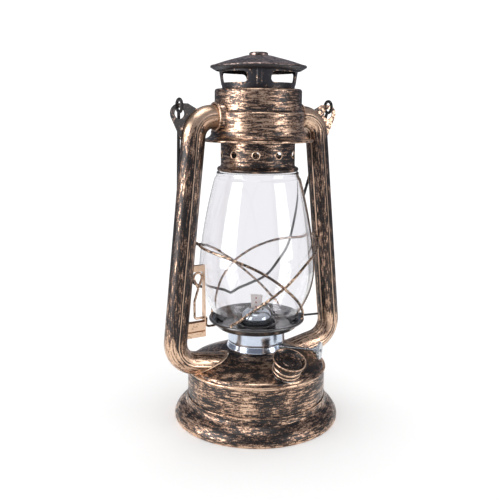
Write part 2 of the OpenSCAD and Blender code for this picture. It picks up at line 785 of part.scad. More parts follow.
module lever_bracket() {
    low_w = 2.8;
    top_w = 2;
    low = lever_z - 15.6;
    split = lever_z - 10.6;
    tab_top = lever_z - 3;
    top = loop_z + loop_r + lever_r + 0.5;
    color("#b07a4a") mirror([1, 0, 0]) difference() {
        union() {
            bracket_tab(low, split - 0.6, low_w);
            bracket_tab(split + 0.6, tab_top, low_w);
            bracket_tab(top, top + 5, top_w);
            translate([web_x, 0, 0]) rotate([90, 0, 90]) linear_extrude(sheet)
                polygon([[-low_w, low], [low_w, low], [low_w, lever_z + 2], [top_w, top],
                         [-top_w, top], [-low_w, lever_z + 2]]);
        }
        translate([web_x - 1, 0, lever_z]) rotate([0, 90, 0]) cylinder(r = lever_r + shaft_gap, h = 4);
        tube_run(tube_top, tube_foot) circle(tube_r + tube_rib + seam_gap);
    }
}

module lift_lever() {
    foot = [loop_x - 0.5, 0, loop_foot];
    side = asin(loop_r / (loop_z - loop_foot));
    top_z = loop_z + loop_r;
    spread = (top_z - loop_foot) * tan(side);
    corner_a = [foot[0] + 0.5 - spread, 0, top_z];
    corner_b = [foot[0] + 0.5 + spread, 0, top_z];
    start = foot + unit(corner_a - foot);
    path = [start, corner_a, corner_b, foot, [arm_x, 0, lever_z + arm_rise], [arm_x, 0, lever_z],
            [web_x - 2, 0, lever_z], [web_x - 3.4, tip_y, tip_z], [plate_r - 3.4, tip_y, tip_z]];
    color("#8a5a36") mirror([1, 0, 0])
        bent_wire(path, [loop_r, loop_r, 2, 3, 2, 2, 2], lever_r);
}

// Air chamber
function chamber_path() = concat(
    [[flue_r + slide_gap + 0.1, chamber_top]],
    arc([upper_r - 2.2, chamber_top - 2.2], 2.2, 90, 0),
    [[upper_r, step_z + 0.6], [drum_r, step_z - 0.6], [drum_r, bell_z + 2.4]]);

module air_chamber() {
    path = chamber_path();
    inside = [for (i = [1:len(path) - 1]) beside(path, i, -sheet)];
    bore = tube_r + tube_rib + seam_gap;
    color("#7a5236") difference() {
        union() {
            turned(path, -sheet);
            for (s = [0, 180]) rotate([0, 0, s])
                translate([drum_r - 4, 0, spout_z]) rotate([0, 90, 0])
                    cylinder(r = bore + 1.2, h = spout_x - drum_r + 4);
        }
        for (s = [0, 180]) rotate([0, 0, s])
            translate([drum_r - 8, 0, spout_z]) rotate([0, 90, 0]) cylinder(r = bore, h = 20);
        rotate_extrude() polygon(concat([[0, chamber_top - sheet]], inside, [[0, bell_z + 2.4]]));
    }
}

module chamber_floor() {
    skirt = 4;
    r = drum_r - sheet - seam_gap;
    color("#4a3a30") translate([0, 0, bell_z + 2.4]) {
        ring(r, hood_r + slide_gap, sheet);
        ring(r, r - sheet, skirt);
    }
}

module bell_flange() {
    top = [drum_r + seam_gap, bell_z + 6];
    rim = [bell_r - 1, bell_z + 1];
    path = concat([top + [0, 2.4]], bezier(top, top + [0.6, -2.6], rim + [-3.4, 1], rim, 8));
    color("#6a4a35") rotate_extrude() {
        polygon(ribbon(path, sheet));
        translate(rim) circle(1);
    }
}

// Hood and its spring
module hood_spring() {
    turns = 5;
    wire_r = 0.8;
    r = (flue_r + upper_r - sheet) / 2;
    z0 = stop_z + sheet + wire_r + 0.2;
    z1 = chamber_top - sheet - wire_r - 0.2;
    steps = 12;
    color("#77736c") swept([for (i = [0:turns * steps]) let (a = 360 * i / steps)
        [r * cos(a), r * sin(a), z0 + (z1 - z0) * i / (turns * steps)]], wire_r, 6);
}

module vent_collar() {
    path = [[hood_r + 1.6, hood_bead_z + 0.6], [hood_r, hood_bead_z + 3.2], [hood_r, stop_z - seam_gap]];
    first_hole = 237.4;
    color("#6a4a35") difference() {
        rotate_extrude() {
            polygon(ribbon(path, sheet));
            translate([hood_r + 1.4, hood_bead_z]) circle(hood_bead_r);
        }
        for (i = [0:hood_holes - 1])
            rotate([0, 0, first_hole + 360 * i / hood_holes]) translate([hood_r - 4, 0, mouth_z + 14.6])
                rotate([0, 90, 0]) cylinder(r = hood_hole_r, h = 8, $fn = 32);
    }
}

module chimney_tube() {
    top = window_z - 1;
    color("#5d564e") difference() {
        union() {
            translate([0, 0, stop_z]) cylinder(r = flue_r, h = top - stop_z);
            translate([0, 0, stop_z]) cylinder(r = stop_r, h = sheet);
        }
        translate([0, 0, stop_z - 1]) cylinder(r = flue_r - sheet, h = top - stop_z + 2);
    }
}

module window_outline() {
    round_r = 3.6;
    square([window_w, window_h - 2 * round_r], center = true);
    square([window_w - 2 * round_r, window_h], center = true);
    for (x = [-1, 1], y = [-1, 1])
        translate([x * (window_w / 2 - round_r), y * (window_h / 2 - round_r)]) circle(round_r, $fn = 24);
}

function roof_at(r) = roof_z + lookup(r, [
    [button_r + 2, roof_rise], [15, 0.8 * roof_rise], [27, 0.38 * roof_rise], [roof_r - 1.8, -0.6]]);

module vent_crown() {
    top_r = crown_r + crown_flare * crown_h;
    top = roof_at(top_r) - 1.15 * sheet - seam_gap;
    path = [[crown_r, crown_z], [crown_r + crown_flare * (top - crown_z), top]];
    first_window = 16.5;
    color("#3d3029") difference() {
        turned(path, sheet);
        for (i = [0:3])
            rotate([0, 0, first_window + 90 * i]) translate([crown_r / 2, 0, window_z + window_h / 2])
                rotate([90, 0, 90]) linear_extrude(crown_r) window_outline();
    }
}

module cap_roof() {
    edge = [roof_r, roof_z - 1.8];
    path = concat(
        [[0, roof_z + roof_rise]],
        [for (r = [button_r + 2, 15, 27, roof_r - 1.8]) [r, roof_at(r)]],
        arc(edge - [1.2, 0], 1.2, 55, -30, 4),
        [edge - roof_hem * [1, 0.7]]);
    color("#3d3029") turned(path, -sheet);
}

module cap_button() {
    z = roof_z + roof_rise + seam_gap;
    color("#5b4030") rotate_extrude()
        polygon([[0, z], [button_r, z], [button_r, z + 1.6], [button_r - 0.9, z + 2.4], [0, z + 2.9]]);
}

base_skirt();
tank_wall();
tank_floor();
tank_top();
tank_neck();
filler_neck();
filler_gasket();
filler_cap();
burner_collar();
burner_deck();
burner_dome();
wick_tube();
wick();
shaft_bush();
wick_shaft();
wick_sprockets();
wick_knob();
globe_plate();
glass_globe();
guard_wire_left();
guard_wire_right();
plate_guide();
left_tube();
right_tube();
left_ear();
right_ear();
lever_bracket();
lift_lever();
air_chamber();
chamber_floor();
bell_flange();
hood_spring();
vent_collar();
chimney_tube();
vent_crown();
cap_roof();
cap_button();
bail();
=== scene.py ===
"""Looks of the oil lantern: smooth turned shells, wires, glass and finishes around the CAD frame."""

import json
import logging
import math
from collections.abc import Callable, Sequence
from dataclasses import dataclass, field
from enum import Enum

import bmesh
import bpy
from mathutils import Matrix, Vector

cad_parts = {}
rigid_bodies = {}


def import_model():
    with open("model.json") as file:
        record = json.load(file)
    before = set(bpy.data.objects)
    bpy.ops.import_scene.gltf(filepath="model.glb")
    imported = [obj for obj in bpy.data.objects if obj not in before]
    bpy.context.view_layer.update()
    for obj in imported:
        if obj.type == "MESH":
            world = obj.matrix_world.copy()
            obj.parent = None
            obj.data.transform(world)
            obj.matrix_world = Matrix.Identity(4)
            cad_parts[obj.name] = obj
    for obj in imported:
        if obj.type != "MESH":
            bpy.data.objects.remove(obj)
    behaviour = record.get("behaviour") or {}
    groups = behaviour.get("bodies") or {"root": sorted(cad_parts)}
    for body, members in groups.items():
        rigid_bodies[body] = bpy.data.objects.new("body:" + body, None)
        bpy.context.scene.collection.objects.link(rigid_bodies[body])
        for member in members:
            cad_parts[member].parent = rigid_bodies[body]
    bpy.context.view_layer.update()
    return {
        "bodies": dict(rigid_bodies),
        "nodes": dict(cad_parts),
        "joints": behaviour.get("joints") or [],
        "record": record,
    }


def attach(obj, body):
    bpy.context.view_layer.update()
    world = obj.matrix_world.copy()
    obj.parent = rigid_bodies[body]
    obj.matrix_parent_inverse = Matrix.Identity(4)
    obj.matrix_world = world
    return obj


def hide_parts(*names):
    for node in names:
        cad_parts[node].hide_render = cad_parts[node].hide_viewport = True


LOG = logging.getLogger("lantern")
MM = 0.001
# Thickness of the sheet metal and gap between pieces that touch, in millimetres.
SHEET = 0.8
SEAM = 0.05
Point = tuple[float, float]
Colour = tuple[float, float, float]


class Streak(Enum):
    """Direction in which a finish was rubbed."""

    AROUND = "around"
    ALONG = "along"
    NONE = "none"


@dataclass(frozen=True)
class Heights:
    """Levels of the lantern above the floor, and the shape of the tank top, in millimetres.

    Attributes:
        flange: level of the plate's flange.
        peak: top of the burner's dome.
        shoulder_r: radius at which the tank top turns down.
        cone_rise: rise of the tank top over cone_run.
        cone_run: width of the tank top's slope.
        edge_fall: slope of the skin past the shoulder.
    """

    wall_top: float = 43.6
    bead: float = 45.05
    shoulder: float = 49.05
    plate: float = 80.65
    glass: float = 81.7
    mouth: float = 213.7
    bell: float = 238.1
    step: float = 262.1
    chamber_top: float = 280.3
    crown: float = 280.7
    roof: float = 299.3
    spout: float = 258.1
    pivot: float = 266.5
    lever: float = 94.25
    flange: float = 85.85
    peak: float = 96.15
    shoulder_r: float = 57.0
    cone_rise: float = 14.0
    cone_run: float = 34.3
    edge_fall: float = 1.2

    def dome(self, r: float) -> float:
        """Height of the tank top at a radius.

        Args:
            r: distance from the axis, in millimetres.

        Returns:
            The height above the floor, in millimetres.
        """
        return self.shoulder + (self.shoulder_r - r) * self.cone_rise / self.cone_run

    def skin(self, r: float) -> float:
        """Height of the tank's skin at a radius, also past the shoulder.

        Args:
            r: distance from the axis, in millimetres.

        Returns:
            The height above the floor, in millimetres.
        """
        past = max(0.0, r - self.shoulder_r)
        return self.dome(min(r, self.shoulder_r)) - past * self.edge_fall


H = Heights()


def arc(centre: Point, r: float, a0: float, a1: float, n: int = 8) -> list[Point]:
    """Points along a circular arc.

    Args:
        centre: centre of the arc.
        r: radius.
        a0: first angle, in degrees.
        a1: last angle, in degrees.
        n: number of steps.

    Returns:
        n + 1 points.
    """
    angles = [math.radians(a0 + (a1 - a0) * i / n) for i in range(n + 1)]
    return [(centre[0] + r * math.cos(a), centre[1] + r * math.sin(a)) for a in angles]


def rolled(centre: Point, r: float, n: int = 23) -> list[Point]:
    """Outline of a rolled edge.

    Args:
        centre: centre of the roll.
        r: radius.
        n: number of steps.

    Returns:
        The points of the closed outline.
    """
    return arc(centre, r, 0, 345, n)


def bezier(a: Point, b: Point, c: Point, d: Point, n: int = 24) -> list[Point]:
    """Points along a cubic curve.

    Args:
        a: start.
        b: first handle.
        c: second handle.
        d: end.
        n: number of steps.

    Returns:
        n + 1 points.
    """
    points = []
    for i in range(n + 1):
        t = i / n
        s = 1 - t
        w = (s * s * s, 3 * s * s * t, 3 * s * t * t, t * t * t)
        points.append(tuple(w[0] * a[k] + w[1] * b[k] + w[2] * c[k] + w[3] * d[k] for k in range(2)))
    return points


def rounded(corners: Sequence[tuple[float, float, float]], n: int = 5) -> list[Point]:
    """Polyline with its corners rounded.

    Args:
        corners: x, y and rounding radius of each corner; the ends are left sharp.
        n: steps in each rounding.

    Returns:
        The points of the rounded line.
    """
    points: list[Point] = [corners[0][:2]]
    for before, here, after in zip(corners, corners[1:], corners[2:]):
        p = Vector(here[:2])
        u = Vector(before[:2]) - p
        v = Vector(after[:2]) - p
        reach = min(here[2], 0.48 * u.length, 0.48 * v.length)
        a = p + u.normalized() * reach
        b = p + v.normalized() * reach
        for i in range(n + 1):
            t = i / n
            q = a * (1 - t) ** 2 + p * 2 * t * (1 - t) + b * t * t
            points.append((q.x, q.y))
    points.append(corners[-1][:2])
    return points


def beside(path: Sequence[Point], t: float) -> list[Point]:
    """Path moved sideways.

    Args:
        path: points of the path.
        t: distance to the left of travel.

    Returns:
        One moved point for each point of the path.
    """
    moved = []
    for i, p in enumerate(path):
        a = Vector(path[max(i, 1)]) - Vector(path[max(i, 1) - 1])
        j = min(i, len(path) - 2)
        b = Vector(path[j + 1]) - Vector(path[j])
        na = Vector((-a.y, a.x)).normalized()
        nb = Vector((-b.y, b.x)).normalized()
        q = Vector(p) + (na + nb) * t / max(0.3, 1 + na.dot(nb))
        moved.append((q.x, q.y))
    return moved


def rim(a: Point, b: Point, travel: Vector, n: int = 6) -> list[Point]:
    """Half-round edge from one face of a sheet to the other.

    Args:
        a: last point of the first face.
        b: first point of the second face.
        travel: direction in which the edge bulges.
        n: number of steps.

    Returns:
        The points between a and b.
    """
    mid = (Vector(a) + Vector(b)) / 2
    arm = Vector(a) - mid
    out = travel.normalized() * arm.length
    turns = [math.pi * k / n for k in range(1, n)]
    points = [mid + arm * math.cos(s) + out * math.sin(s) for s in turns]
    return [(q.x, q.y) for q in points]


def sheet(path: Sequence[Point], t: float) -> list[Point]:
    """Closed outline of bent sheet with rounded edges.

    Args:
        path: one face of the sheet.
        t: thickness, to the left of travel.

    Returns:
        The outline.
    """
    other = beside(path, t)
    end = Vector(path[-1]) - Vector(path[-2])
    start = Vector(path[0]) - Vector(path[1])
    return [*path, *rim(path[-1], other[-1], end), *reversed(other), *rim(other[0], path[0], start)]


def mark_wear(bm: bmesh.types.BMesh) -> None:
    """Store where a rubbing hand reaches: ridges up to 1, hollows down to -1.

    Args:
        bm: mesh whose faces point outwards.
    """
    wear = bm.verts.layers.float.new("wear")
    for edge in bm.edges:
        if len(edge.link_faces) != 2:
            continue
        centres = [face.calc_center_median() for face in edge.link_faces]
        gap = max((centres[0] - centres[1]).length, 0.05 * MM)
        bend = edge.calc_face_angle_signed(0.0) * MM / gap
        reach = math.copysign(min(max((abs(bend) - 0.18) / 0.6, 0.0), 1.0), bend)
        for vert in edge.verts:
            if abs(reach) > abs(vert[wear]):
                vert[wear] = reach


def to_object(bm: bmesh.types.BMesh, name: str, crease: float = 40.0) -> bpy.types.Object:
    """Turn a finished bmesh into an object with smooth faces and sharp creases.

    Args:
        bm: the mesh, freed here.
        name: name of the object.
        crease: angle above which an edge stays sharp, in degrees.

    Returns:
        The new object.
    """
    bmesh.ops.recalc_face_normals(bm, faces=bm.faces)
    mark_wear(bm)
    for face in bm.faces:
        face.smooth = True
    for edge in bm.edges:
        if len(edge.link_faces) == 2 and edge.calc_face_angle() > math.radians(crease):
            edge.smooth = False
    mesh = bpy.data.meshes.new(name)
    bm.to_mesh(mesh)
    bm.free()
    obj = bpy.data.objects.new(name, mesh)
    bpy.context.scene.collection.objects.link(obj)
    return obj


def spin(bm: bmesh.types.BMesh, outline: Sequence[Point], steps: int = 160) -> None:
    """Turn an outline around the Z axis.

    Args:
        bm: mesh that the turned surface is added to.
        outline: radius and height of each point, in millimetres; it is closed unless it starts on the axis.
        steps: number of segments around.
    """
    verts = [bm.verts.new((r * MM, 0, z * MM)) for r, z in outline]
    pairs = list(zip(verts, verts[1:]))
    if min(outline[0][0], outline[-1][0]) > 1e-6:
        pairs.append((verts[-1], verts[0]))
    edges = [bm.edges.new(pair) for pair in pairs]
    bmesh.ops.spin(
        bm, geom=verts + edges, cent=(0, 0, 0), axis=(0, 0, 1), dvec=(0, 0, 0),
        angle=math.tau, steps=steps, use_merge=True,
    )
    bmesh.ops.remove_doubles(bm, verts=bm.verts, dist=1e-6)
    bmesh.ops.dissolve_degenerate(bm, edges=bm.edges, dist=1e-7)


def turned(name: str, *outlines: Sequence[Point], matrix: Matrix | None = None) -> bpy.types.Object:
    """Turned piece made of one or more outlines.

    Args:
        name: name of the object.
        *outlines: outlines in millimetres.
        matrix: where the piece's axis lies; the lantern's axis if left out.

    Returns:
        The new object.
    """
    bm = bmesh.new()
    for outline in outlines:
        spin(bm, outline)
    if matrix is not None:
        bmesh.ops.transform(bm, matrix=matrix, verts=bm.verts)
    return to_object(bm, name)


def frames_along(
    path: Sequence[Vector], closed: bool, side: Callable[[int], Vector] | None
) -> list[Matrix]:
    """Places of a section along a path, square to it.

    Args:
        path: points in metres.
        closed: whether the path is a loop.
        side: direction of the section's first axis at each point; carried along the path if left out.

    Returns:
        One matrix for each point.
    """
    n = len(path)
    across = None
    frames = []
    for i, point in enumerate(path):
        before = path[(i - 1) % n] if closed else path[max(i - 1, 0)]
        after = path[(i + 1) % n] if closed else path[min(i + 1, n - 1)]
        tangent = (after - before).normalized()
        if side is not None:
            across = side(i)
        elif across is None:
            across = tangent.orthogonal()
        across = (across - tangent * across.dot(tangent)).normalized()
        turn = Matrix((across, tangent.cross(across), tangent)).transposed()
        frames.append(Matrix.Translation(point) @ turn.to_4x4())
    return frames


def sweep(
    bm: bmesh.types.BMesh,
    path: Sequence[Vector],
    section: Sequence[Point],
    closed: bool = False,
    side: Callable[[int], Vector] | None = None,
) -> None:
    """Extrude a section along a path, with its own UV in metres.

    Args:
        bm: mesh that the swept surface is added to.
        path: points in metres.
        section: closed section in metres, across and up.
        closed: whether the path is a loop.
        side: direction of the section's first axis at each point; carried along the path if left out.
    """
    uv = bm.loops.layers.uv.verify()
    column = bm.verts.layers.int.get("column") or bm.verts.layers.int.new("column")
    frames = frames_along(path, closed, side)
    verts = [bm.verts.new(frames[0] @ Vector((x, y, 0))) for x, y in section]
    for k, vert in enumerate(verts):
        vert[column] = k
    ring = [bm.edges.new(pair) for pair in zip(verts, [*verts[1:], verts[0]])]
    first = ring
    count = len(section)
    around = [0.0]
    for a, b in zip(section, [*section[1:], section[0]]):
        around.append(around[-1] + math.dist(a, b))
    run = 0.0
    for i in range(1, len(path)):
        made = bmesh.ops.extrude_edge_only(bm, edges=ring)["geom"]
        moved = {g for g in made if isinstance(g, bmesh.types.BMVert)}
        faces = [g for g in made if isinstance(g, bmesh.types.BMFace)]
        ring = [g for g in made if isinstance(g, bmesh.types.BMEdge) and moved.issuperset(g.verts)]
        bmesh.ops.transform(bm, matrix=frames[i] @ frames[i - 1].inverted(), verts=list(moved))
        step = (path[i] - path[i - 1]).length
        for face in faces:
            seam = {0, count - 1} == {v[column] for v in face.verts}
            for loop in face.loops:
                k = loop.vert[column]
                k = count if seam and k == 0 else k
                loop[uv].uv = (around[k], run + (step if loop.vert in moved else 0.0))
        run += step
    if closed:
        bmesh.ops.bridge_loops(bm, edges=[*ring, *first])
    else:
        bmesh.ops.edgeloop_fill(bm, edges=first)
        bmesh.ops.edgeloop_fill(bm, edges=ring)


def outward_of(loop: Sequence[Vector]) -> Callable[[int], Vector]:
    """Direction away from the lantern's axis at each point of a path.

    Args:
        loop: points of the path.

    Returns:
        A function from a point's index to the direction.
    """
    return lambda i: Vector((loop[i].x, loop[i].y, 0))


def disc(r: float, sides: int = 16) -> list[Point]:
    """Round wire section.

    Args:
        r: radius in metres.
        sides: number of sides.

    Returns:
        The section's points.
    """
    return [(r * math.cos(math.tau * k / sides), r * math.sin(math.tau * k / sides)) for k in range(sides)]


def bent(corners: Sequence[tuple[Vector, float]], n: int = 10) -> list[Vector]:
    """Path of a wire that is bent round corners.

    Args:
        corners: each corner in millimetres, with its bend radius.
        n: steps in each bend.

    Returns:
        Points in metres.
    """
    points = [corners[0][0] * MM]
    for (before, _), (here, r), (after, _) in zip(corners, corners[1:], corners[2:]):
        u = (here - before).normalized()
        v = (after - here).normalized()
        turn = u.angle(v)
        reach = r * math.tan(turn / 2)
        inward = (v - u * u.dot(v)).normalized()
        centre = here - u * reach + inward * r
        for i in range(n + 1):
            a = turn * i / n
            points.append((centre + (u * math.sin(a) - inward * math.cos(a)) * r) * MM)
    points.append(corners[-1][0] * MM)
    return points


def spline(keys: Sequence[Vector], n: int = 10) -> list[Vector]:
    """Smooth path through points.

    Args:
        keys: points in millimetres.
        n: steps between two points.

    Returns:
        Points in metres.
    """
    points = []
    last = len(keys) - 1
    for i in range(last):
        a, b, c, d = (keys[max(i - 1, 0)], keys[i], keys[i + 1], keys[min(i + 2, last)])
        for j in range(n):
            t = j / n
            q = b + 0.5 * t * ((c - a) + t * ((2 * a - 5 * b + 4 * c - d) + t * (3 * (b - c) + d - a)))
            points.append(q * MM)
    points.append(keys[last] * MM)
    return points


def wire(name: str, path: Sequence[Vector], r: float) -> bpy.types.Object:
    """Round wire along a path.

    Args:
        name: name of the object.
        path: points in metres.
        r: radius in millimetres.

    Returns:
        The new object.
    """
    bm = bmesh.new()
    sweep(bm, path, disc(r * MM))
    return to_object(bm, name)


class Nodes:
    """Builder for one material's nodes."""

    def __init__(self, name: str) -> None:
        self.material = bpy.data.materials.new(name)
        self.material.use_nodes = True
        self.tree = self.material.node_tree
        self.shader = self.tree.nodes["Principled BSDF"]

    def add(self, kind: str, **settings: object) -> bpy.types.Node:
        """Add a node.

        Args:
            kind: Blender's name of the node type.
            **settings: attributes to set on it.

        Returns:
            The node.
        """
        node = self.tree.nodes.new(kind)
        for key, value in settings.items():
            setattr(node, key, value)
        return node

    def link(self, out: bpy.types.NodeSocket, into: bpy.types.NodeSocket) -> None:
        """Join two sockets.

        Args:
            out: the output.
            into: the input.
        """
        self.tree.links.new(out, into)

    def math(self, operation: str, a: object, b: object = 0.0, clamp: bool = False) -> bpy.types.NodeSocket:
        """Calculate with two values or sockets.

        Args:
            operation: name of the operation.
            a: first value or socket.
            b: second value or socket.
            clamp: whether to keep the result between 0 and 1.

        Returns:
            The result's socket.
        """
        node = self.add("ShaderNodeMath", operation=operation, use_clamp=clamp)
        for socket, value in zip(node.inputs, (a, b)):
            if isinstance(value, bpy.types.NodeSocket):
                self.link(value, socket)
            else:
                socket.default_value = value
        return node.outputs[0]

    def noise(
        self, source: bpy.types.NodeSocket, scale: Sequence[float], detail: float = 5.0
    ) -> bpy.types.NodeSocket:
        """Noise over a stretched coordinate.

        Args:
            source: coordinate socket.
            scale: stretch along each axis, per metre.
            detail: number of octaves.

        Returns:
            The noise value, around 0.5.
        """
        mapping = self.add("ShaderNodeMapping")
        mapping.inputs["Scale"].default_value = scale
        self.link(source, mapping.inputs["Vector"])
        noise = self.add("ShaderNodeTexNoise")
        noise.inputs["Scale"].default_value = 1.0
        noise.inputs["Detail"].default_value = detail
        noise.inputs["Roughness"].default_value = 0.62
        self.link(mapping.outputs["Vector"], noise.inputs["Vector"])
        return noise.outputs["Fac"]

    def ramp(
        self, value: bpy.types.NodeSocket, stops: Sequence[tuple[float, Colour]]
    ) -> bpy.types.NodeSocket:
        """Colours along a value.

        Args:
            value: socket between 0 and 1.
            stops: place and colour of each stop.

        Returns:
            The colour's socket.
        """
        node = self.add("ShaderNodeValToRGB")
        band = node.color_ramp
        while len(band.elements) < len(stops):
            band.elements.new(0.5)
        for element, (place, colour) in zip(band.elements, stops):
            element.position = place
            element.color = (*colour, 1.0)
        self.link(value, node.inputs["Fac"])
        return node.outputs["Color"]

    def spread(self, value: bpy.types.NodeSocket, low: float, high: float) -> bpy.types.NodeSocket:
        """Move a value from 0..1 to another range.

        Args:
            value: socket between 0 and 1.
            low: result at 0.
            high: result at 1.

        Returns:
            The result's socket.
        """
        node = self.add("ShaderNodeMapRange")
        node.inputs["To Min"].default_value = low
        node.inputs["To Max"].default_value = high
        self.link(value, node.inputs["Value"])
        return node.outputs["Result"]

    def bump(self, height: bpy.types.NodeSocket, strength: float, distance: float) -> None:
        """Bump the surface.

        Args:
            height: height socket.
            strength: how much of it shows.
            distance: depth in metres.
        """
        node = self.add("ShaderNodeBump")
        node.inputs["Strength"].default_value = strength
        node.inputs["Distance"].default_value = distance
        self.link(height, node.inputs["Height"])
        self.link(node.outputs["Normal"], self.shader.inputs["Normal"])

    def set(self, **values: object) -> None:
        """Set inputs of the surface shader.

        Args:
            **values: value of each input, with underscores for spaces.
        """
        for key, value in values.items():
            self.shader.inputs[key.replace("_", " ")].default_value = value


STREAK_SCALES = {
    Streak.AROUND: ((150, 150, 900), (48, 48, 270)),
    Streak.ALONG: ((850, 110, 1), (190, 28, 1)),
    Streak.NONE: ((520, 520, 520), (150, 150, 150)),
}


@dataclass(frozen=True)
class RubbedCopper:
    """Dark copper plate rubbed bright in streaks.

    Attributes:
        name: name of the material.
        streak: direction of the rubbing.
        rubbed: share that is rubbed bright, around 0.5.
        bright: levels in metres below and above which the colour is made brighter.
        gain: how much brighter it is made below and above those levels.
        dull: level in metres below which the plate stays dark.
        edge: how much brighter the ridges are rubbed.
        coat: clear coat over the plate.
        dark: colour of the plate in the hollows.
        copper: colour where it is rubbed.
        gold: colour where it is rubbed most.
    """

    name: str
    streak: Streak = Streak.AROUND
    rubbed: float = 0.5
    bright: tuple[float, float] | None = None
    gain: tuple[float, float] = (0.14, 0.24)
    dull: float | None = None
    edge: float = 0.25
    coat: float = 0.4
    dark: Colour = (0.03, 0.026, 0.026)
    copper: Colour = (0.4, 0.235, 0.155)
    gold: Colour = (0.82, 0.57, 0.4)

    def build(self) -> bpy.types.Material:
        """Make the material.

        Returns:
            The material.
        """
        n = Nodes(self.name)
        coords = n.add("ShaderNodeTexCoord")
        place = coords.outputs["Object"]
        streaked = coords.outputs["UV"] if self.streak is Streak.ALONG else place
        fine_scale, coarse_scale = STREAK_SCALES[self.streak]
        fine = n.noise(streaked, fine_scale)
        coarse = n.noise(streaked, coarse_scale)
        patch = n.noise(place, (34, 34, 34), 3.0)
        speck = n.noise(place, (900, 900, 900), 2.0)
        layers = ((fine, 0.9), (coarse, 0.45), (patch, 0.42), (speck, 0.4))
        mean = sum(weight for _, weight in layers) / 2
        value = n.math("SUBTRACT", 0.5 * self.rubbed, mean + 0.25)
        for layer, weight in layers:
            value = n.math("ADD", value, n.math("MULTIPLY", layer, weight))
        height = n.add("ShaderNodeSeparateXYZ")
        n.link(place, height.inputs[0])
        onset, dulling, contrast = 60.0, 0.2, 4.2
        # Colour made brighter below and above the given levels; on the air chamber this is painted light:
        # the lower drum is coloured lighter against the highlight on the upper drum.
        if self.bright is not None:
            low = n.math("SUBTRACT", self.bright[0], height.outputs["Z"])
            high = n.math("SUBTRACT", height.outputs["Z"], self.bright[1])
            for beyond, gain in zip((low, high), self.gain):
                boost = n.math("MULTIPLY", beyond, onset, clamp=True)
                value = n.math("ADD", value, n.math("MULTIPLY", boost, gain))
        if self.dull is not None:
            under = n.math("LESS_THAN", height.outputs["Z"], self.dull)
            value = n.math("SUBTRACT", value, n.math("MULTIPLY", under, dulling))
        wear = n.add("ShaderNodeAttribute", attribute_name="wear")
        value = n.math("ADD", value, n.math("MULTIPLY", wear.outputs["Fac"], self.edge))
        mask = n.math("ADD", n.math("MULTIPLY", value, contrast), 0.5, clamp=True)
        mid = tuple(0.75 * d + 0.25 * c for d, c in zip(self.dark, self.copper))
        colour = n.ramp(mask, [(0.12, self.dark), (0.42, mid), (0.68, self.copper), (1.0, self.gold)])
        n.link(colour, n.shader.inputs["Base Color"])
        n.link(n.spread(mask, 0.5, 0.3), n.shader.inputs["Roughness"])
        n.set(Metallic=0.92, Specular_IOR_Level=0.6, Coat_Weight=self.coat, Coat_Roughness=0.28)
        n.bump(n.math("ADD", n.math("MULTIPLY", fine, 0.7), n.math("MULTIPLY", speck, 0.4)), 0.16, 0.0004)
        return n.material


@dataclass(frozen=True)
class Grained:
    """Even surface with a light grain.

    Attributes:
        name: name of the material.
        colour: base colour.
        roughness: mean roughness.
        metallic: share of metal.
        grain: how much the roughness and colour wander.
        coat: clear coat over the surface.
    """

    name: str
    colour: Colour
    roughness: float = 0.2
    metallic: float = 1.0
    grain: float = 0.3
    coat: float = 0.0

    def build(self) -> bpy.types.Material:
        """Make the material.

        Returns:
            The material.
        """
        n = Nodes(self.name)
        place = n.add("ShaderNodeTexCoord").outputs["Object"]
        grain = n.noise(place, (160, 160, 420), 4.0)
        low = tuple(c * (1 - self.grain) for c in self.colour)
        n.link(n.ramp(grain, [(0.3, low), (0.7, self.colour)]), n.shader.inputs["Base Color"])
        rough = n.spread(grain, self.roughness * (1 + self.grain), self.roughness * (1 - self.grain))
        n.link(rough, n.shader.inputs["Roughness"])
        n.set(Metallic=self.metallic, Coat_Weight=self.coat, Coat_Roughness=0.08)
        n.bump(grain, 0.05, 0.0003)
        return n.material


@dataclass(frozen=True)
class ClearGlass:
    """Clear blown glass with a faint tint.

    Attributes:
        name: name of the material.
        tint: colour of the glass.
    """

    name: str
    tint: Colour = (0.89, 0.885, 0.905)

    def build(self) -> bpy.types.Material:
        """Make the material.

        Returns:
            The material.
        """
        n = Nodes(self.name)
        place = n.add("ShaderNodeTexCoord").outputs["Object"]
        wave = n.noise(place, (30, 30, 18), 1.0)
        n.set(
            Base_Color=(*self.tint, 1.0), Roughness=0.0, Transmission_Weight=1.0, IOR=1.47, Metallic=0.0,
        )
        n.bump(wave, 0.03, 0.002)
        return n.material


@dataclass(frozen=True)
class Cotton:
    """Woven cotton with a coloured tracer thread.

    Attributes:
        name: name of the material.
        turn: direction of the strip around the axis, in degrees.
    """

    name: str
    turn: float

    def build(self) -> bpy.types.Material:
        """Make the material.

        Returns:
            The material.
        """
        n = Nodes(self.name)
        mapping = n.add("ShaderNodeMapping")
        mapping.inputs["Rotation"].default_value = (0, 0, math.radians(-self.turn))
        n.link(n.add("ShaderNodeTexCoord").outputs["Object"], mapping.inputs["Vector"])
        parts = n.add("ShaderNodeSeparateXYZ")
        n.link(mapping.outputs["Vector"], parts.inputs[0])
        width = n.math("ABSOLUTE", parts.outputs["X"])
        middle = n.math("LESS_THAN", width, 0.0006)
        dash = n.math("LESS_THAN", n.math("FRACT", n.math("MULTIPLY", parts.outputs["Z"], 250.0)), 0.4)
        thread = n.math("MULTIPLY", middle, dash)
        weave = n.math("MULTIPLY", n.math("SINE", n.math("MULTIPLY", parts.outputs["X"], 7000.0)),
                       n.math("SINE", n.math("MULTIPLY", parts.outputs["Z"], 5200.0)))
        colour = n.ramp(thread, [(0.0, (0.86, 0.79, 0.76)), (1.0, (0.42, 0.07, 0.08))])
        n.link(colour, n.shader.inputs["Base Color"])
        n.set(Roughness=0.95, Metallic=0.0, Sheen_Weight=0.2)
        n.bump(weave, 0.5, 0.0003)
        return n.material


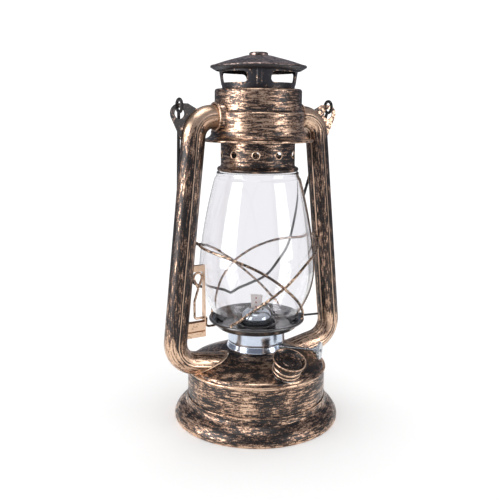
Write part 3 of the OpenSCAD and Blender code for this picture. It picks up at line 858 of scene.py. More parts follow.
@dataclass(frozen=True)
class Matt:
    """Plain matt surface.

    Attributes:
        name: name of the material.
        colour: base colour.
        roughness: roughness.
        gloss: level of the mirror part.
    """

    name: str
    colour: Colour
    roughness: float = 0.8
    gloss: float = 0.5

    def build(self) -> bpy.types.Material:
        """Make the material.

        Returns:
            The material.
        """
        n = Nodes(self.name)
        n.set(Base_Color=(*self.colour, 1.0), Roughness=self.roughness, Metallic=0.0,
              Specular_IOR_Level=self.gloss)
        return n.material


SHAFT_ANGLE = -48.0
FINISHES = (
    RubbedCopper("body_copper", rubbed=0.42, edge=0.15),
    # The lower drum and spouts are painted lighter than the upper drum: painted light that evens out the
    # stronger highlight on the upper drum.
    RubbedCopper("chamber_copper", rubbed=0.48, bright=(0.262, 1.0), gain=(0.1, 0.0), edge=0.1),
    RubbedCopper("bell_copper", rubbed=0.48, edge=0.06),
    RubbedCopper("collar_copper", rubbed=0.38, edge=0.0),
    RubbedCopper("tube_copper", Streak.ALONG, rubbed=0.38, bright=(0.085, 0.238), edge=0.4),
    RubbedCopper("crown_copper", Streak.NONE, rubbed=0.3, edge=0.1, dark=(0.045, 0.044, 0.05),
                 copper=(0.2, 0.13, 0.1)),
    RubbedCopper("roof_copper", Streak.NONE, rubbed=0.52, dull=0.2976, edge=0.0, dark=(0.05, 0.046, 0.05),
                 copper=(0.3, 0.195, 0.165), gold=(0.58, 0.43, 0.38)),
    RubbedCopper("cap_copper", Streak.NONE, rubbed=0.36, edge=0.26),
    RubbedCopper("ear_copper", Streak.NONE, rubbed=0.48),
    RubbedCopper("dark_copper", Streak.NONE, rubbed=0.2, copper=(0.2, 0.13, 0.1)),
    RubbedCopper("bail_copper", Streak.NONE, rubbed=0.1, edge=0.0, copper=(0.16, 0.11, 0.09)),
    RubbedCopper("wire_copper", Streak.NONE, rubbed=0.52, edge=0.0, copper=(0.34, 0.22, 0.15)),
    RubbedCopper("lever_copper", Streak.NONE, rubbed=0.66, edge=0.0, dark=(0.08, 0.05, 0.035)),
    RubbedCopper("bright_copper", Streak.NONE, rubbed=0.86, dark=(0.34, 0.2, 0.12),
                 copper=(0.5, 0.31, 0.19)),
    Grained("chrome", (0.66, 0.73, 0.84), roughness=0.2, grain=0.12),
    Grained("steel", (0.58, 0.6, 0.63), roughness=0.26),
    Grained("polished", (0.46, 0.51, 0.56), roughness=0.15, grain=0.1),
    Grained("plate_grey", (0.14, 0.135, 0.135), roughness=0.2, metallic=0.75, coat=0.7),
    ClearGlass("clear_glass"),
    Cotton("cotton", SHAFT_ANGLE),
    Grained("rubber", (0.03, 0.03, 0.03), roughness=0.75, metallic=0.0),
)

CAD_LOOKS = {
    "tank_floor": "body_copper", "tank_neck": "steel", "filler_neck": "steel", "filler_gasket": "rubber",
    "burner_deck": "steel", "wick_tube": "steel", "shaft_bush": "steel", "wick_shaft": "steel",
    "wick_sprockets": "steel", "wick_knob": "steel", "plate_guide": "bail_copper",
    "left_ear": "dark_copper", "right_ear": "ear_copper", "lever_bracket": "bright_copper",
    "chamber_floor": "dark_copper", "hood_spring": "steel", "vent_collar": "collar_copper",
    "chimney_tube": "dark_copper", "vent_crown": "crown_copper",
}


@dataclass
class Workshop:
    """Keeps the finishes and dresses the pieces.

    Attributes:
        finishes: materials by name.
    """

    frame: dict
    finishes: dict[str, bpy.types.Material] = field(default_factory=dict)

    def mix(self) -> None:
        """Make every finish."""
        for finish in FINISHES:
            self.finishes[finish.name] = finish.build()

    def dress(
        self, obj: bpy.types.Object, body: str, finish: str, slot: str, *nodes: str
    ) -> None:
        """Give a piece its finish, its body and the CAD nodes that it stands for.

        Args:
            obj: the piece.
            body: name of the body it moves with.
            finish: name of its finish.
            slot: material slot in the record; not used.
            *nodes: CAD nodes that it replaces.
        """
        obj.data.materials.append(self.finishes[finish])
        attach(obj, body)
        if nodes:
            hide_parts(*nodes)
        LOG.info("%s: %d faces on %s", obj.name, len(obj.data.polygons), body)

    def dress_frame(self) -> None:
        """Give the CAD nodes that stay in view their finishes."""
        for node, finish in CAD_LOOKS.items():
            mesh = self.frame["nodes"][node].data
            mesh.materials.clear()
            mesh.materials.append(self.finishes[finish])
            LOG.info("%s: %s", node, finish)


@dataclass
class Tank:
    """Foot, tank wall and tank top.

    Attributes:
        foot_r: widest radius of the foot.
        wall_r: radius of the wall.
        neck_r: radius of the burner opening.
        bead_r: radius of the seam bead.
        hem_r: radius of the rolled hem.
    """

    foot_r: float = 71.5
    wall_r: float = 59.8
    neck_r: float = 22.75
    bead_r: float = 1.4
    hem_r: float = 1.8

    def build(self, shop: Workshop) -> None:
        """Build and dress the pieces.

        Args:
            shop: where they are dressed.
        """
        x = self.wall_r + SEAM
        toe = self.foot_r - SHEET
        curve = bezier((x, 17.4), (x + 0.6, 11.0), (toe - 3, 12.4), (toe, 3.4), 32)
        skirt = sheet([(x, 20.0), *curve, (toe - 0.2, 1.9)], SHEET)
        roll = rolled((self.foot_r - self.hem_r, 1.45), self.hem_r)
        hem = [(r, max(z, 0.0)) for r, z in roll]
        foot = turned("foot_shell", skirt, hem)
        shop.dress(foot, "frame", "body_copper", "antique_copper", "base_skirt")

        wall = sheet([(self.wall_r, 13.0), (self.wall_r, H.wall_top)], SHEET)
        shop.dress(turned("tank_shell", wall), "frame", "body_copper", "antique_copper", "tank_wall")

        bead_x = self.wall_r - SHEET / 2
        brow = (H.shoulder_r, H.shoulder)
        slope = [(self.neck_r, H.dome(self.neck_r)), (40.0, H.dome(40.0)), brow]
        edge = bezier(brow, (58.0, 48.63), (58.8, 47.65), (bead_x - 0.2, H.bead + 0.3), 12)
        bead = rolled((bead_x, H.bead), self.bead_r)
        top = turned("tank_lid", sheet([*slope, *edge[1:]], -SHEET), bead)
        shop.dress(top, "frame", "body_copper", "antique_copper", "tank_top")


@dataclass
class FillerCap:
    """Screw cap of the filler, dished on top.

    Attributes:
        reach: distance from the lantern's axis.
        bore: radius of the bore.
        rim_r: radius of the flared rim.
        ceiling: height of the bore above the tank top.
    """

    reach: float = 48.5
    bore: float = 9.9
    rim_r: float = 14.0
    ceiling: float = 11.0

    def build(self, shop: Workshop) -> None:
        """Build and dress the cap.

        Args:
            shop: where it is dressed.
        """
        body = self.bore + 2.1
        lip = self.rim_r
        roof = self.ceiling
        top = roof + 4.0
        outline = rounded([
            (self.bore, roof, 0.0), (self.bore, 1.8, 0.3), (body - 0.2, 1.8, 0.6), (body, 2.6, 0.8),
            (body, 3.6, 0.9), (body - 0.7, 4.4, 0.7), (body - 0.7, 5.0, 0.7), (body, 5.8, 0.9),
            (body, 7.2, 0.9), (body - 0.8, 8.0, 0.8), (body - 0.8, roof - 0.8, 1.5),
            (lip - 0.6, top - 2.4, 1.2), (lip, top - 1.0, 0.6), (lip, top - 0.2, 0.5),
            (lip - 0.7, top, 0.5), (lip - 1.7, top - 0.9, 0.6), (lip - 2.8, top - 2.2, 1.2),
            (9.0, roof + 1.2, 1.0), (6.0, roof + 0.9, 0.6), (5.0, roof + 1.5, 0.6),
            (2.4, roof + 2.0, 0.8), (0.0, roof + 2.1, 0.0)])
        tilt = math.atan(H.cone_rise / H.cone_run)
        seat = Matrix.Translation((0, -self.reach * MM, H.dome(self.reach) * MM))
        place = seat @ Matrix.Rotation(tilt, 4, "X")
        cap = turned("filler_lid_shell", [(0.0, roof), *outline], matrix=place)
        shop.dress(cap, "filler_lid", "cap_copper", "dark_copper", "filler_cap")


@dataclass
class Burner:
    """Collar, dome and wick of the burner.

    Attributes:
        collar_r: radius of the collar's lower edge.
        dome_r: radius of the dome.
        wick_w: width of the wick.
        wick_t: thickness of the wick.
        wick_rise: how far the wick stands out of the dome.
        slot: how much longer and wider the flame slot is than the wick.
        gap: gap between the collar and the plate.
    """

    collar_r: float = 25.6
    dome_r: float = 13.2
    wick_w: float = 9.0
    wick_t: float = 2.6
    wick_rise: float = 11.5
    slot: Point = (4.2, 3.2)
    gap: float = 0.4

    def collar(self) -> bpy.types.Object:
        """Bright collar in two bands.

        Returns:
            The piece.
        """
        z = H.dome(self.collar_r - SHEET) + SEAM
        top = H.plate - self.gap
        r = self.collar_r
        path = rounded([
            (r, z, 0), (r, z + 0.6, 0.3), (r - 1.5, z + 5.0, 1.4), (r - 0.9, z + 6.6, 1.0),
            (r - 1.2, top - 1.4, 1.0), (r - 2.2, top, 0.9), (r - 4.0, top, 0)], 8)
        return turned("collar_shell", sheet(path, SHEET))

    def dome(self) -> bpy.types.Object:
        """Polished dome with a slot for the flame.

        Returns:
            The piece.
        """
        foot = H.plate - self.gap - SHEET
        peak = H.peak
        brow = peak - 8.6
        cut = (brow + 2) * MM
        r = self.dome_r
        curve = bezier((r, brow), (r, brow + 5.2), (r - 6.0, peak), (1.5, peak), 24)
        bm = bmesh.new()
        spin(bm, sheet([(r, foot), *curve], SHEET), 128)
        turn = Matrix.Rotation(math.radians(SHAFT_ANGLE), 3, "Z")
        half = ((self.wick_w + self.slot[0]) / 2 * MM, (self.wick_t + self.slot[1]) / 2 * MM)
        back = turn.inverted()
        for axis, reach in zip((Vector((1, 0, 0)), Vector((0, 1, 0))), half):
            for sign in (-1, 1):
                high = [f for f in bm.faces if f.calc_center_median().z > cut]
                edges = {e for f in high for e in f.edges}
                verts = {v for f in high for v in f.verts}
                side = turn @ axis
                bmesh.ops.bisect_plane(
                    bm, geom=[*high, *edges, *verts], plane_co=side * sign * reach, plane_no=side)
        gone = []
        for face in bm.faces:
            c = back @ face.calc_center_median()
            if c.z > cut and abs(c.x) < half[0] and abs(c.y) < half[1]:
                gone.append(face)
        bmesh.ops.delete(bm, geom=gone, context="FACES")
        open_edges = [e for e in bm.edges if e.is_boundary]
        bmesh.ops.bridge_loops(bm, edges=open_edges)
        return to_object(bm, "dome_shell")

    def wick(self) -> bpy.types.Object:
        """Flat woven wick with a soft top edge.

        Returns:
            The piece.
        """
        foot = 28.0
        peak = H.peak + self.wick_rise
        columns, rows = 18, 120
        bm = bmesh.new()
        section = []
        for k in range(columns + 1):
            section.append((-self.wick_w / 2 + self.wick_w * k / columns, -self.wick_t / 2))
        for k in range(columns + 1):
            section.append((self.wick_w / 2 - self.wick_w * k / columns, self.wick_t / 2))
        turn = Matrix.Rotation(math.radians(SHAFT_ANGLE), 3, "Z")
        path = [Vector((0, 0, (foot + (peak - foot) * i / rows) * MM)) for i in range(rows + 1)]
        across = turn @ Vector((1, 0, 0))
        sweep(bm, path, [(x * MM, y * MM) for x, y in section], side=lambda i: across)
        frayed = 4.2
        spread = 0.16
        for vert in bm.verts:
            local = turn.inverted() @ vert.co
            near = max(0.0, 1 - (peak * MM - vert.co.z) / (frayed * MM))
            fray = math.sin(local.x * 2900) * math.sin(local.x * 1270 + 1.3)
            vert.co += across * (local.x * spread * near)
            vert.co.z -= near * (0.4 + 0.35 * fray) * MM
        return to_object(bm, "wick_strip_cloth", 60)

    def build(self, shop: Workshop) -> None:
        """Build and dress the pieces.

        Args:
            shop: where they are dressed.
        """
        shop.dress(self.collar(), "frame", "chrome", "chrome", "burner_collar")
        shop.dress(self.dome(), "frame", "polished", "steel", "burner_dome")
        shop.dress(self.wick(), "wick_strip", "cotton", "cotton", "wick")


@dataclass
class Globe:
    """Glass globe, its plate and its guard wires.

    Attributes:
        plate_r: radius of the plate.
        plate_t: thickness of the plate.
        lip_r: radius of the plate's rolled lip.
        glass_t: thickness of the glass.
        guard_r: radius of the guard wires.
        guard_turn: turn of the guard wires around the axis, in degrees.
        guard_drop: distance from the mouth down to the guard wires' tips.
        travel: how far the globe lifts.
        foot_r: radius of the glass at its foot.
        belly_r: widest radius of the glass.
        belly_h: height of the belly above the foot of the glass.
        mouth_r: radius of the glass at its mouth.
    """

    plate_r: float = 41.2
    plate_t: float = 1.0
    lip_r: float = 1.3
    glass_t: float = 2.0
    guard_r: float = 1.1
    guard_turn: float = -6.0
    guard_drop: float = 56.6
    travel: float = 11.0
    foot_r: float = 33.5
    belly_r: float = 49.1
    belly_h: float = 50.0
    mouth_r: float = 34.2

    def glass_path(self) -> list[Point]:
        """Outer face of the glass, from foot to mouth.

        Returns:
            Radius and height of each point.
        """
        z = H.glass
        r = self.foot_r
        belly = (self.belly_r, z + self.belly_h)
        waist = (self.mouth_r + 2.2, H.mouth - 7)
        lower = bezier((r, z + 4.4), (r + 5, z + 15.4), (belly[0] - 0.6, belly[1] - 24), belly, 40)
        upper = bezier(belly, (belly[0], belly[1] + 18), (waist[0] + 6, waist[1] - 22), waist, 40)
        lip = (self.mouth_r, H.mouth - 1.8)
        neck = bezier(waist, (waist[0] - 0.8, waist[1] + 3.2), (lip[0], lip[1] - 3.2), lip, 10)
        return [(r, z + 0.6), *lower, *upper[1:], *neck[1:], (self.mouth_r, H.mouth - 1.0)]

    def glass_at(self, z: float) -> float:
        """Outer radius of the glass at a height.

        Args:
            z: height above the floor.

        Returns:
            The radius.
        """
        path = self.glass_path()
        for (r0, z0), (r1, z1) in zip(path, path[1:]):
            if z0 <= z <= z1:
                return r0 + (r1 - r0) * (z - z0) / (z1 - z0)
        return path[0][0] if z < path[0][1] else path[-1][0]

    def on_glass(self, angle: float, h: float, stand: float) -> Vector:
        """Point beside the glass.

        Args:
            angle: direction around the axis, in degrees.
            h: height above the foot of the glass.
            stand: distance from the glass.

        Returns:
            The point in millimetres.
        """
        r = self.glass_at(H.glass + h) + stand
        a = math.radians(angle)
        return Vector((r * math.cos(a), r * math.sin(a), H.glass + h))

    def guard(self, name: str, extra: float, mirrored: bool) -> bpy.types.Object:
        """Guard wire from the plate, round the globe, to its bend beside a tube.

        Args:
            name: name of the object.
            extra: how far it stands off where the wires cross.
            mirrored: whether it bends beside the right tube.

        Returns:
            The piece.
        """
        off = self.guard_r + 1.5
        end = self.plate_r - self.lip_r
        top = H.flange + 2 * self.lip_r + SEAM
        tip_h = H.mouth - self.guard_drop
        tube = AirTube()
        tip_x = tube.x_at(tip_h + self.travel) - tube.r - tube.rib - self.guard_r - 0.3
        foot_turn = math.radians(35)
        c, s = math.cos(foot_turn), math.sin(foot_turn)
        run = (
            (-47, 14, 1.2), (-60, 22.5, 0), (-75, 33, extra / 2), (-91, 45, extra), (-103, 53, extra / 2),
            (-117, 60, 0), (-138, 66.5, 0.4))
        half = [
            Vector((end * c, -end * s, top)), Vector((end * c - 0.4, -end * s - 0.4, top + 2)),
            *(self.on_glass(angle, h, off + stand) for angle, h, stand in run),
            Vector((-tip_x + 4.4, -13, tip_h - 4)), Vector((-tip_x + 1, -4.2, tip_h - 0.6))]
        back = [Vector((p.x, -p.y, p.z)) for p in reversed(half)]
        keys = [*half, Vector((-tip_x, 0, tip_h)), *back]
        if mirrored:
            keys = [Vector((-p.x, p.y, p.z)) for p in keys]
        turn = Matrix.Rotation(math.radians(self.guard_turn), 3, "Z")
        return wire(name, spline([turn @ p for p in keys]), self.guard_r)

    def build(self, shop: Workshop) -> None:
        """Build and dress the pieces.

        Args:
            shop: where they are dressed.
        """
        z = H.plate
        edge = self.plate_r - self.lip_r
        path = rounded([
            (16.2, z + 3, 0), (16.2, z, 1.2), (34.6, z, 1.6), (37.2, H.flange, 1.2),
            (edge, H.flange, 0)], 8)
        lip = rolled((edge, H.flange + self.lip_r), self.lip_r)
        plate = turned("plate_shell", sheet(path, self.plate_t), lip)
        shop.dress(plate, "carriage", "plate_grey", "plate_grey", "globe_plate")
        glass = turned("glass_shell", sheet(self.glass_path(), self.glass_t))
        shop.dress(glass, "carriage", "clear_glass", "clear_glass", "glass_globe")
        left = self.guard("guard_left_wire", 0.0, False)
        shop.dress(left, "carriage", "wire_copper", "wire", "guard_wire_left")
        right = self.guard("guard_right_wire", 2 * self.guard_r + 0.5, True)
        shop.dress(right, "carriage", "wire_copper", "wire", "guard_wire_right")


@dataclass
class AirTube:
    """Ribbed air tube from the chamber down to the tank top.

    Attributes:
        r: radius.
        rib: height of the ribs.
        top_x: distance from the axis to the corner of the upper bend.
        foot_x: distance from the axis to the corner of the lower bend.
        top_bend: radius of the upper bend.
        foot_bend: radius of the lower bend.
        tilt: slope of the lower leg, in degrees.
        toe_x: distance from the axis at which the top of the lower leg meets the tank top.
        toe_gap: how far it stands above the tank top there.
        start_x: distance from the axis to the upper end.
        end_x: distance from the axis to the lower end.
    """

    r: float = 9.3
    rib: float = 0.5
    top_x: float = 57.0
    foot_x: float = 78.4
    top_bend: float = 16.2
    foot_bend: float = 20.0
    tilt: float = 10.8
    toe_x: float = 31.0
    toe_gap: float = 0.4
    start_x: float = 37.6
    end_x: float = 31.5

    def leg_z(self, x: float) -> float:
        """Height of the lower leg's centre.

        Args:
            x: distance from the lantern's axis.

        Returns:
            The height above the floor.
        """
        tilt = math.radians(self.tilt)
        top = H.dome(self.toe_x) + self.toe_gap
        return top - self.r / math.cos(tilt) + (x - self.toe_x) * math.tan(tilt)

    def x_at(self, z: float) -> float:
        """Distance of the straight run from the axis.

        Args:
            z: height above the floor.

        Returns:
            The distance.
        """
        foot = self.leg_z(self.foot_x)
        return self.top_x + (self.foot_x - self.top_x) * (H.spout - z) / (H.spout - foot)

    def section(self) -> list[Point]:
        """Round section with four ribs along it.

        Returns:
            Points in metres; the first axis points outwards.
        """
        points = []
        sides = 120
        for k in range(sides):
            a = 360.0 * k / sides
            lift = 0.0
            for rib in (23, 93, 267, 337):
                gap = abs((a - rib + 180) % 360 - 180)
                lift += self.rib * math.exp(-((gap / 4.2) ** 2))
            r = (self.r + lift) * MM
            points.append((r * math.cos(math.radians(a)), r * math.sin(math.radians(a))))
        return points

    def landing(self) -> list[Vector]:
        """Line where the lower leg meets the tank top.

        Returns:
            Points in metres, for the right tube.
        """
        reach = self.r + self.rib
        lowest, proud = 45.0, 0.55
        points = []
        for k in range(72):
            a = math.tau * k / 72
            y = reach * math.cos(a)
            rise = reach * math.sin(a) / math.cos(math.radians(self.tilt))
            low, high = 20.0, 75.0
            for _ in range(40):
                x = (low + high) / 2
                if self.leg_z(x) + rise > H.skin(math.hypot(x, y)):
                    high = x
                else:
                    low = x
            ground = H.skin(math.hypot(x, y))
            points.append(Vector((x, y, max(ground, lowest) + proud)) * MM)
        return points

    def build(self, shop: Workshop, node: str, sign: int) -> None:
        """Build and dress the tube.

        Args:
            shop: where it is dressed.
            node: CAD node that it replaces.
            sign: 1 for the right tube, -1 for the left one.
        """
        corners = [
            (Vector((self.start_x, 0, H.spout)), 0.0), (Vector((self.top_x, 0, H.spout)), self.top_bend),
            (Vector((self.foot_x, 0, self.leg_z(self.foot_x))), self.foot_bend),
            (Vector((self.end_x, 0, self.leg_z(self.end_x))), 0.0)]
        path = bent(corners, 28)
        fine = []
        for a, b in zip(path, path[1:]):
            steps = max(1, round((b - a).length / (8 * MM)))
            fine.extend(a.lerp(b, i / steps) for i in range(steps))
        fine.append(path[-1])
        flip = Matrix.Diagonal((sign, 1, 1))
        fine = [flip @ p for p in fine]
        bm = bmesh.new()

        def outwards(i: int) -> Vector:
            tangent = fine[min(i + 1, len(fine) - 1)] - fine[max(i - 1, 0)]
            return tangent.cross(Vector((0, 1, 0))) * -sign

        sweep(bm, fine, self.section(), side=outwards)
        lip = [flip @ p for p in self.landing()]
        middle = sign * 0.045
        flat = [(x * 1.5, y * 0.75) for x, y in disc(0.9 * MM, 12)]
        sweep(bm, lip, flat, closed=True, side=lambda i: Vector((lip[i].x - middle, lip[i].y, 0)))
        tube = to_object(bm, node + "_shell")
        shop.dress(tube, "frame", "tube_copper", "antique_copper", node)


@dataclass
class Chamber:
    """Air chamber with its spouts, and the bell flange under it.

    Attributes:
        drum_r: radius of the lower drum.
        upper_r: radius of the upper drum.
        hole_r: radius of the hole for the chimney.
        bell_r: radius of the bell's rim.
        spout_r: outer radius of the spouts.
        spout_x: reach of the spouts.
    """

    drum_r: float = 38.0
    upper_r: float = 35.6
    hole_r: float = 29.1
    bell_r: float = 45.8
    spout_r: float = 11.05
    spout_x: float = 40.2

    def build(self, shop: Workshop) -> None:
        """Build and dress the pieces.

        Args:
            shop: where they are dressed.
        """
        bm = bmesh.new()
        path = rounded([
            (self.hole_r, H.chamber_top, 0), (self.upper_r, H.chamber_top, 2.4),
            (self.upper_r, H.step + 0.6, 1.0), (self.drum_r, H.step - 0.6, 1.0),
            (self.drum_r, H.bell + 2.4, 0)], 8)
        spin(bm, sheet(path, -SHEET))
        spout = sheet(rounded([
            (self.spout_r + 1.6, self.drum_r - 2.6, 0), (self.spout_r, self.drum_r + 0.6, 1.6),
            (self.spout_r, self.spout_x - 0.2, 0)], 8), 1.1)
        spout_bead = rolled((self.spout_r - 0.2, self.spout_x - 0.7), 0.9, 15)
        for sign in (1, -1):
            one = bmesh.new()
            spin(one, spout, 96)
            spin(one, spout_bead, 96)
            place = Matrix.Translation((0, 0, H.spout * MM)) @ Matrix.Rotation(sign * math.pi / 2, 4, "Y")
            bmesh.ops.transform(one, matrix=place, verts=one.verts)
            mesh = bpy.data.meshes.new("spout")
            one.to_mesh(mesh)
            one.free()
            bm.from_mesh(mesh)
            bpy.data.meshes.remove(mesh)
        chamber = to_object(bm, "chamber_shell")
        shop.dress(chamber, "frame", "chamber_copper", "antique_copper", "air_chamber")

        top = (self.drum_r + SEAM, H.bell + 6)
        edge = (self.bell_r - 1, H.bell + 1)
        flare = bezier(top, (top[0] + 0.6, top[1] - 2.6), (edge[0] - 3.4, edge[1] + 1), edge, 20)
        skirt = sheet([(top[0], top[1] + 2.4), *flare], SHEET)
        bell = turned("bell_shell", skirt, rolled(edge, 1.0))
        shop.dress(bell, "frame", "bell_copper", "antique_copper", "bell_flange")


@dataclass
class Hood:
    """Roof and button, and the pressed rims of the collar's holes and the crown's windows.

    Attributes:
        collar_r: radius of the perforated collar.
        crown_r: radius of the crown at its foot.
        flare: slope of the crown's wall.
        roof_r: radius of the roof's edge.
        rise: rise of the roof.
        button_r: radius of the button.
    """

    collar_r: float = 30.7
    crown_r: float = 29.45
    flare: float = 0.156
    roof_r: float = 39.1
    rise: float = 7.4
    button_r: float = 7.7

    def roof(self) -> bpy.types.Object:
        """Roof with the hem turned in under its edge.

        Returns:
            The piece.
        """
        z = H.roof
        edge = (self.roof_r, z - 1.8)
        path = rounded([
            (0, z + self.rise, 0), (self.button_r + 2, z + self.rise, 3), (15, z + 0.8 * self.rise, 4),
            (27, z + 0.38 * self.rise, 5), (self.roof_r - 1.8, z - 0.6, 1.0)], 8)
        path += arc((edge[0] - 1.2, edge[1]), 1.2, 55, -30, 8)
        path += [(edge[0] - 4.4, edge[1] - 3.08)]
        inside = beside(path, -SHEET)
        outline = [*path, *rim(path[-1], inside[-1], Vector((-1, -0.7))), *reversed(inside)]
        outline[-1] = (0.0, outline[-1][1])
        return turned("roof_shell", outline)

    def button(self) -> bpy.types.Object:
        """Flat button on the roof.

        Returns:
            The piece.
        """
        z = H.roof + self.rise + SEAM
        r = self.button_r
        outline = rounded([
            (0, z, 0), (r, z, 0.2), (r, z + 1.6, 0.6), (r - 0.9, z + 2.4, 0.6), (r - 2.6, z + 2.5, 0.8),
            (0, z + 2.9, 0)])
        return turned("button_shell", outline)

    def hole_rims(self) -> bpy.types.Object:
        """Raised rims of the holes in the perforated collar.

        Returns:
            The piece.
        """
        bm = bmesh.new()
        r = self.collar_r - 0.12
        ring_r, ring_wire = 3.05, 0.42
        level = H.mouth + 14.6
        holes, first_hole = 10, 237.4
        for i in range(holes):
            start = math.radians(first_hole + 360 / holes * i)
            loop = []
            for a in (math.tau * k / 32 for k in range(32)):
                turn = start + ring_r * math.cos(a) / r
                z = level + ring_r * math.sin(a)
                loop.append(Vector((r * math.cos(turn), r * math.sin(turn), z)) * MM)
            sweep(bm, loop, disc(ring_wire * MM, 8), closed=True, side=outward_of(loop))
        return to_object(bm, "collar_hole_rims")

    def window_rims(self) -> bpy.types.Object:
        """Rolled rims of the windows in the crown, and the pressed rib between each two.

        Returns:
            The piece.
        """
        bm = bmesh.new()
        first_window = 16.5
        half_w, half_h, corner = 14.3, 4.6, 3.6
        middle = H.crown + 3.7 + half_h
        flat: list[Point] = []
        for cx, cy, a0 in ((1, 1, 0), (-1, 1, 90), (-1, -1, 180), (1, -1, 270)):
            flat += arc((cx * (half_w - corner), cy * (half_h - corner)), corner, a0, a0 + 90, 6)
        line: list[Point] = []
        for a, b in zip(flat, [*flat[1:], flat[0]]):
            steps = max(1, round(math.dist(a, b) / 1.5))
            for t in (k / steps for k in range(steps)):
                line.append((a[0] + (b[0] - a[0]) * t, a[1] + (b[1] - a[1]) * t))
        for i in range(4):
            turn = Matrix.Rotation(math.radians(first_window + 90 * i), 3, "Z")
            loop = []
            for s, h in line:
                z = middle + h
                r = self.wall_at(z) - 0.35
                loop.append(turn @ Vector((math.sqrt(r * r - s * s), s, z)) * MM)
            sweep(bm, loop, disc(0.48 * MM, 10), closed=True, side=outward_of(loop))
            between = Matrix.Rotation(math.radians(first_window + 45 + 90 * i), 3, "Z")
            levels = [H.crown + 2.6 + 13.0 * k / 12 for k in range(13)]
            rib = [between @ Vector((self.wall_at(z) - 0.3, 0, z)) * MM for z in levels]
            sweep(bm, rib, [(x * 0.5, y * 1.7) for x, y in disc(1.3 * MM, 16)], side=outward_of(rib))
        return to_object(bm, "crown_window_rims")

    def wall_at(self, z: float) -> float:
        """Outer radius of the crown's wall.

        Args:
            z: height above the floor.

        Returns:
            The radius.
        """
        return self.crown_r + self.flare * (z - H.crown)

    def build(self, shop: Workshop) -> None:
        """Build and dress the pieces.

        Args:
            shop: where they are dressed.
        """
        shop.dress(self.roof(), "hood", "roof_copper", "dark_copper", "cap_roof")
        shop.dress(self.button(), "hood", "roof_copper", "antique_copper", "cap_button")
        shop.dress(self.hole_rims(), "hood", "bright_copper", "antique_copper")
        shop.dress(self.window_rims(), "hood", "crown_copper", "dark_copper")


@dataclass
class Bail:
    """Wire handle that hangs behind the globe.

    Attributes:
        r: radius of the wire.
        x: distance of the eyes from the axis.
        eye_r: radius of the eyes.
        reach: distance from the pivot to the lowest corner.
        lean: angle behind the globe, in degrees.
    """

    r: float = 1.25
    x: float = 70.0
    eye_r: float = 4.85
    reach: float = 172.5
    lean: float = 16.4

    def build(self, shop: Workshop) -> None:
        """Build and dress the bail.

        Args:
            shop: where it is dressed.
        """
        side = [
            (Vector((self.x, 0, -self.eye_r)), 0.0), (Vector((57, 0, 39 - self.reach)), 39.0),
            (Vector((38, 0, 9 - self.reach)), 27.0), (Vector((8, 0, -self.reach)), 8.0)]
        middle = [(Vector((0, 0, -self.reach - 4.5)), 2.5)]
        other = [(Vector((-p.x, 0, p.z)), b) for p, b in reversed(side)]
        bm = bmesh.new()
        section = disc(self.r * MM)
        sweep(bm, bent([*side, *middle, *other], 14), section)
        for x in (-self.x, self.x):
            loop = []
            for k in range(48):
                a = math.tau * k / 48
                loop.append(Vector((x, self.eye_r * math.cos(a), self.eye_r * math.sin(a))) * MM)
            sweep(bm, loop, section, closed=True, side=lambda k: Vector((1, 0, 0)))
        place = Matrix.Translation((0, 0, H.pivot * MM)) @ Matrix.Rotation(math.radians(self.lean), 4, "X")
        bmesh.ops.transform(bm, matrix=place, verts=bm.verts)
        shop.dress(to_object(bm, "bail_wire"), "handle", "bail_copper", "dark_copper", "bail")


@dataclass
class LiftLever:
    """Bent wire that lifts the globe.

    Attributes:
        r: radius of the wire.
        web_x: distance of the bracket's web from the axis.
        loop_r: radius of the finger loop.
        crank: length of the crank under the plate.
        play: gap between the crank and the plate.
    """

    r: float = 0.95
    web_x: float = 50.0
    loop_r: float = 3.7
    crank: float = 10.6
    play: float = 0.35

    def build(self, shop: Workshop) -> None:
        """Build and dress the lever.

        Args:
            shop: where it is dressed.
        """
        z = H.lever
        loop_x = self.web_x + SHEET + 0.4 + self.r + self.loop_r
        loop_z = z + 34.8
        foot = Vector((loop_x - 0.5, 0, z + 25.3))
        top = loop_z + self.loop_r
        spread = (top - foot.z) * math.tan(math.asin(self.loop_r / (loop_z - foot.z)))
        a = Vector((loop_x - spread, 0, top))
        b = Vector((loop_x + spread, 0, top))
        tip_z = H.flange - self.play - self.r
        tip_y = math.sqrt(self.crank ** 2 - (z - tip_z) ** 2)
        arm_x = self.web_x + 8.9
        corners = [
            (foot + (a - foot).normalized(), 0.0), (a, self.loop_r), (b, self.loop_r), (foot, 2.0),
            (Vector((arm_x, 0, z + 14.8)), 3.0), (Vector((arm_x, 0, z)), 2.0),
            (Vector((self.web_x - 2, 0, z)), 2.0), (Vector((self.web_x - 3.4, tip_y, tip_z)), 4.0),
            (Vector((37.8, tip_y, tip_z)), 0.0)]
        path = [Vector((-p.x, p.y, p.z)) for p in bent(corners)]
        shop.dress(wire("lever_wire", path, self.r), "lever", "lever_copper", "bright_copper", "lift_lever")


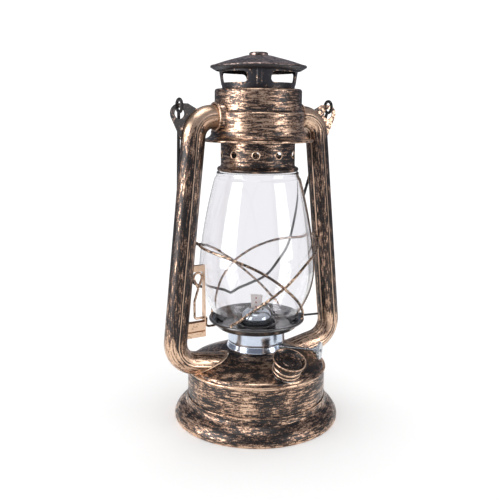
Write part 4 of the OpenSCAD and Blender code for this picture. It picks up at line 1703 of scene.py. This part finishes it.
@dataclass
class Studio:
    """Pale floor, soft lights and the camera.

    Attributes:
        eye: place of the camera, in metres.
        heading: direction of view around the vertical, in degrees.
        pitch: downward slope of the view, in degrees.
        roll: roll of the camera, in degrees.
        lens: focal length for a 36 mm sensor.
        floor_r: radius of the floor, in metres.
    """

    eye: tuple[float, float, float] = (-0.28475, -0.4932, 0.2617)
    heading: float = 29.4
    pitch: float = 11.42
    roll: float = 0.37
    lens: float = 49.08
    floor_r: float = 0.55

    def floor(self) -> None:
        """Round white floor."""
        bm = bmesh.new()
        bmesh.ops.create_circle(bm, cap_ends=True, radius=self.floor_r, segments=96)
        obj = to_object(bm, "studio_floor")
        obj.data.materials.append(Matt("studio_white", (0.98, 0.98, 0.98), 0.9, 0.0).build())

    def light(self, name: str, place: Sequence[float], size: float, power: float) -> None:
        """Soft light aimed at the globe; the floor is lit by the surroundings alone.

        Args:
            name: name of the light.
            place: where it stands, in metres.
            size: width of the light.
            power: power in watts.
        """
        lamp = bpy.data.lights.new(name, "AREA")
        lamp.shape = "SQUARE"
        lamp.size = size
        lamp.energy = power
        obj = bpy.data.objects.new(name, lamp)
        obj.location = place
        aim = Vector((0, 0, 0.16)) - Vector(place)
        obj.rotation_euler = aim.to_track_quat("-Z", "Y").to_euler()
        obj.visible_diffuse = False
        bpy.context.scene.collection.objects.link(obj)

    def camera(self) -> None:
        """Camera at the photo's angle."""
        cam = bpy.data.cameras.new("camera")
        cam.lens = self.lens
        cam.sensor_width = 36.0
        cam.clip_start = 0.02
        obj = bpy.data.objects.new("camera", cam)
        turn = Matrix.Rotation(math.radians(-self.heading), 4, "Z")
        tip = Matrix.Rotation(math.radians(90 - self.pitch), 4, "X")
        lean = Matrix.Rotation(math.radians(self.roll), 4, "Z")
        obj.matrix_world = Matrix.Translation(self.eye) @ turn @ tip @ lean
        bpy.context.scene.collection.objects.link(obj)
        bpy.context.scene.camera = obj

    def surroundings(self) -> None:
        """White all around, but dim in the reflections so that the metal keeps its contrast."""
        world = bpy.data.worlds.new("studio")
        bpy.context.scene.world = world
        world.use_nodes = True
        tree = world.node_tree
        path = tree.nodes.new("ShaderNodeLightPath")
        mirrored = tree.nodes.new("ShaderNodeMath")
        mirrored.operation = "SUBTRACT"
        mirrored.use_clamp = True
        tree.links.new(path.outputs["Is Glossy Ray"], mirrored.inputs[0])
        tree.links.new(path.outputs["Is Transmission Ray"], mirrored.inputs[1])
        tint = tree.nodes.new("ShaderNodeMix")
        tint.data_type = "RGBA"
        tint.inputs["A"].default_value = (1.14, 1.14, 1.14, 1.0)
        tint.inputs["B"].default_value = (0.2, 0.21, 0.25, 1.0)
        tree.links.new(mirrored.outputs[0], tint.inputs["Factor"])
        tree.links.new(tint.outputs["Result"], tree.nodes["Background"].inputs["Color"])

    def build(self) -> None:
        """Set up the studio."""
        self.floor()
        self.light("key", (-1.1, 0.05, 0.42), 0.85, 13)
        self.light("fill", (0.55, -0.95, 0.40), 0.6, 4)
        self.light("top", (-0.2, -0.1, 1.3), 0.7, 5)
        self.camera()
        self.surroundings()
        bpy.context.scene.view_settings.view_transform = "Standard"
        LOG.info("studio ready")


def main() -> None:
    """Build the lantern's looks in order."""
    logging.basicConfig(level=logging.INFO, format="%(name)s %(message)s")
    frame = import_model()
    shop = Workshop(frame)
    shop.mix()
    shop.dress_frame()
    Tank().build(shop)
    FillerCap().build(shop)
    Burner().build(shop)
    Globe().build(shop)
    AirTube().build(shop, "right_tube", 1)
    AirTube().build(shop, "left_tube", -1)
    Chamber().build(shop)
    Hood().build(shop)
    Bail().build(shop)
    LiftLever().build(shop)
    Studio().build()


if __name__ == "__main__":
    main()
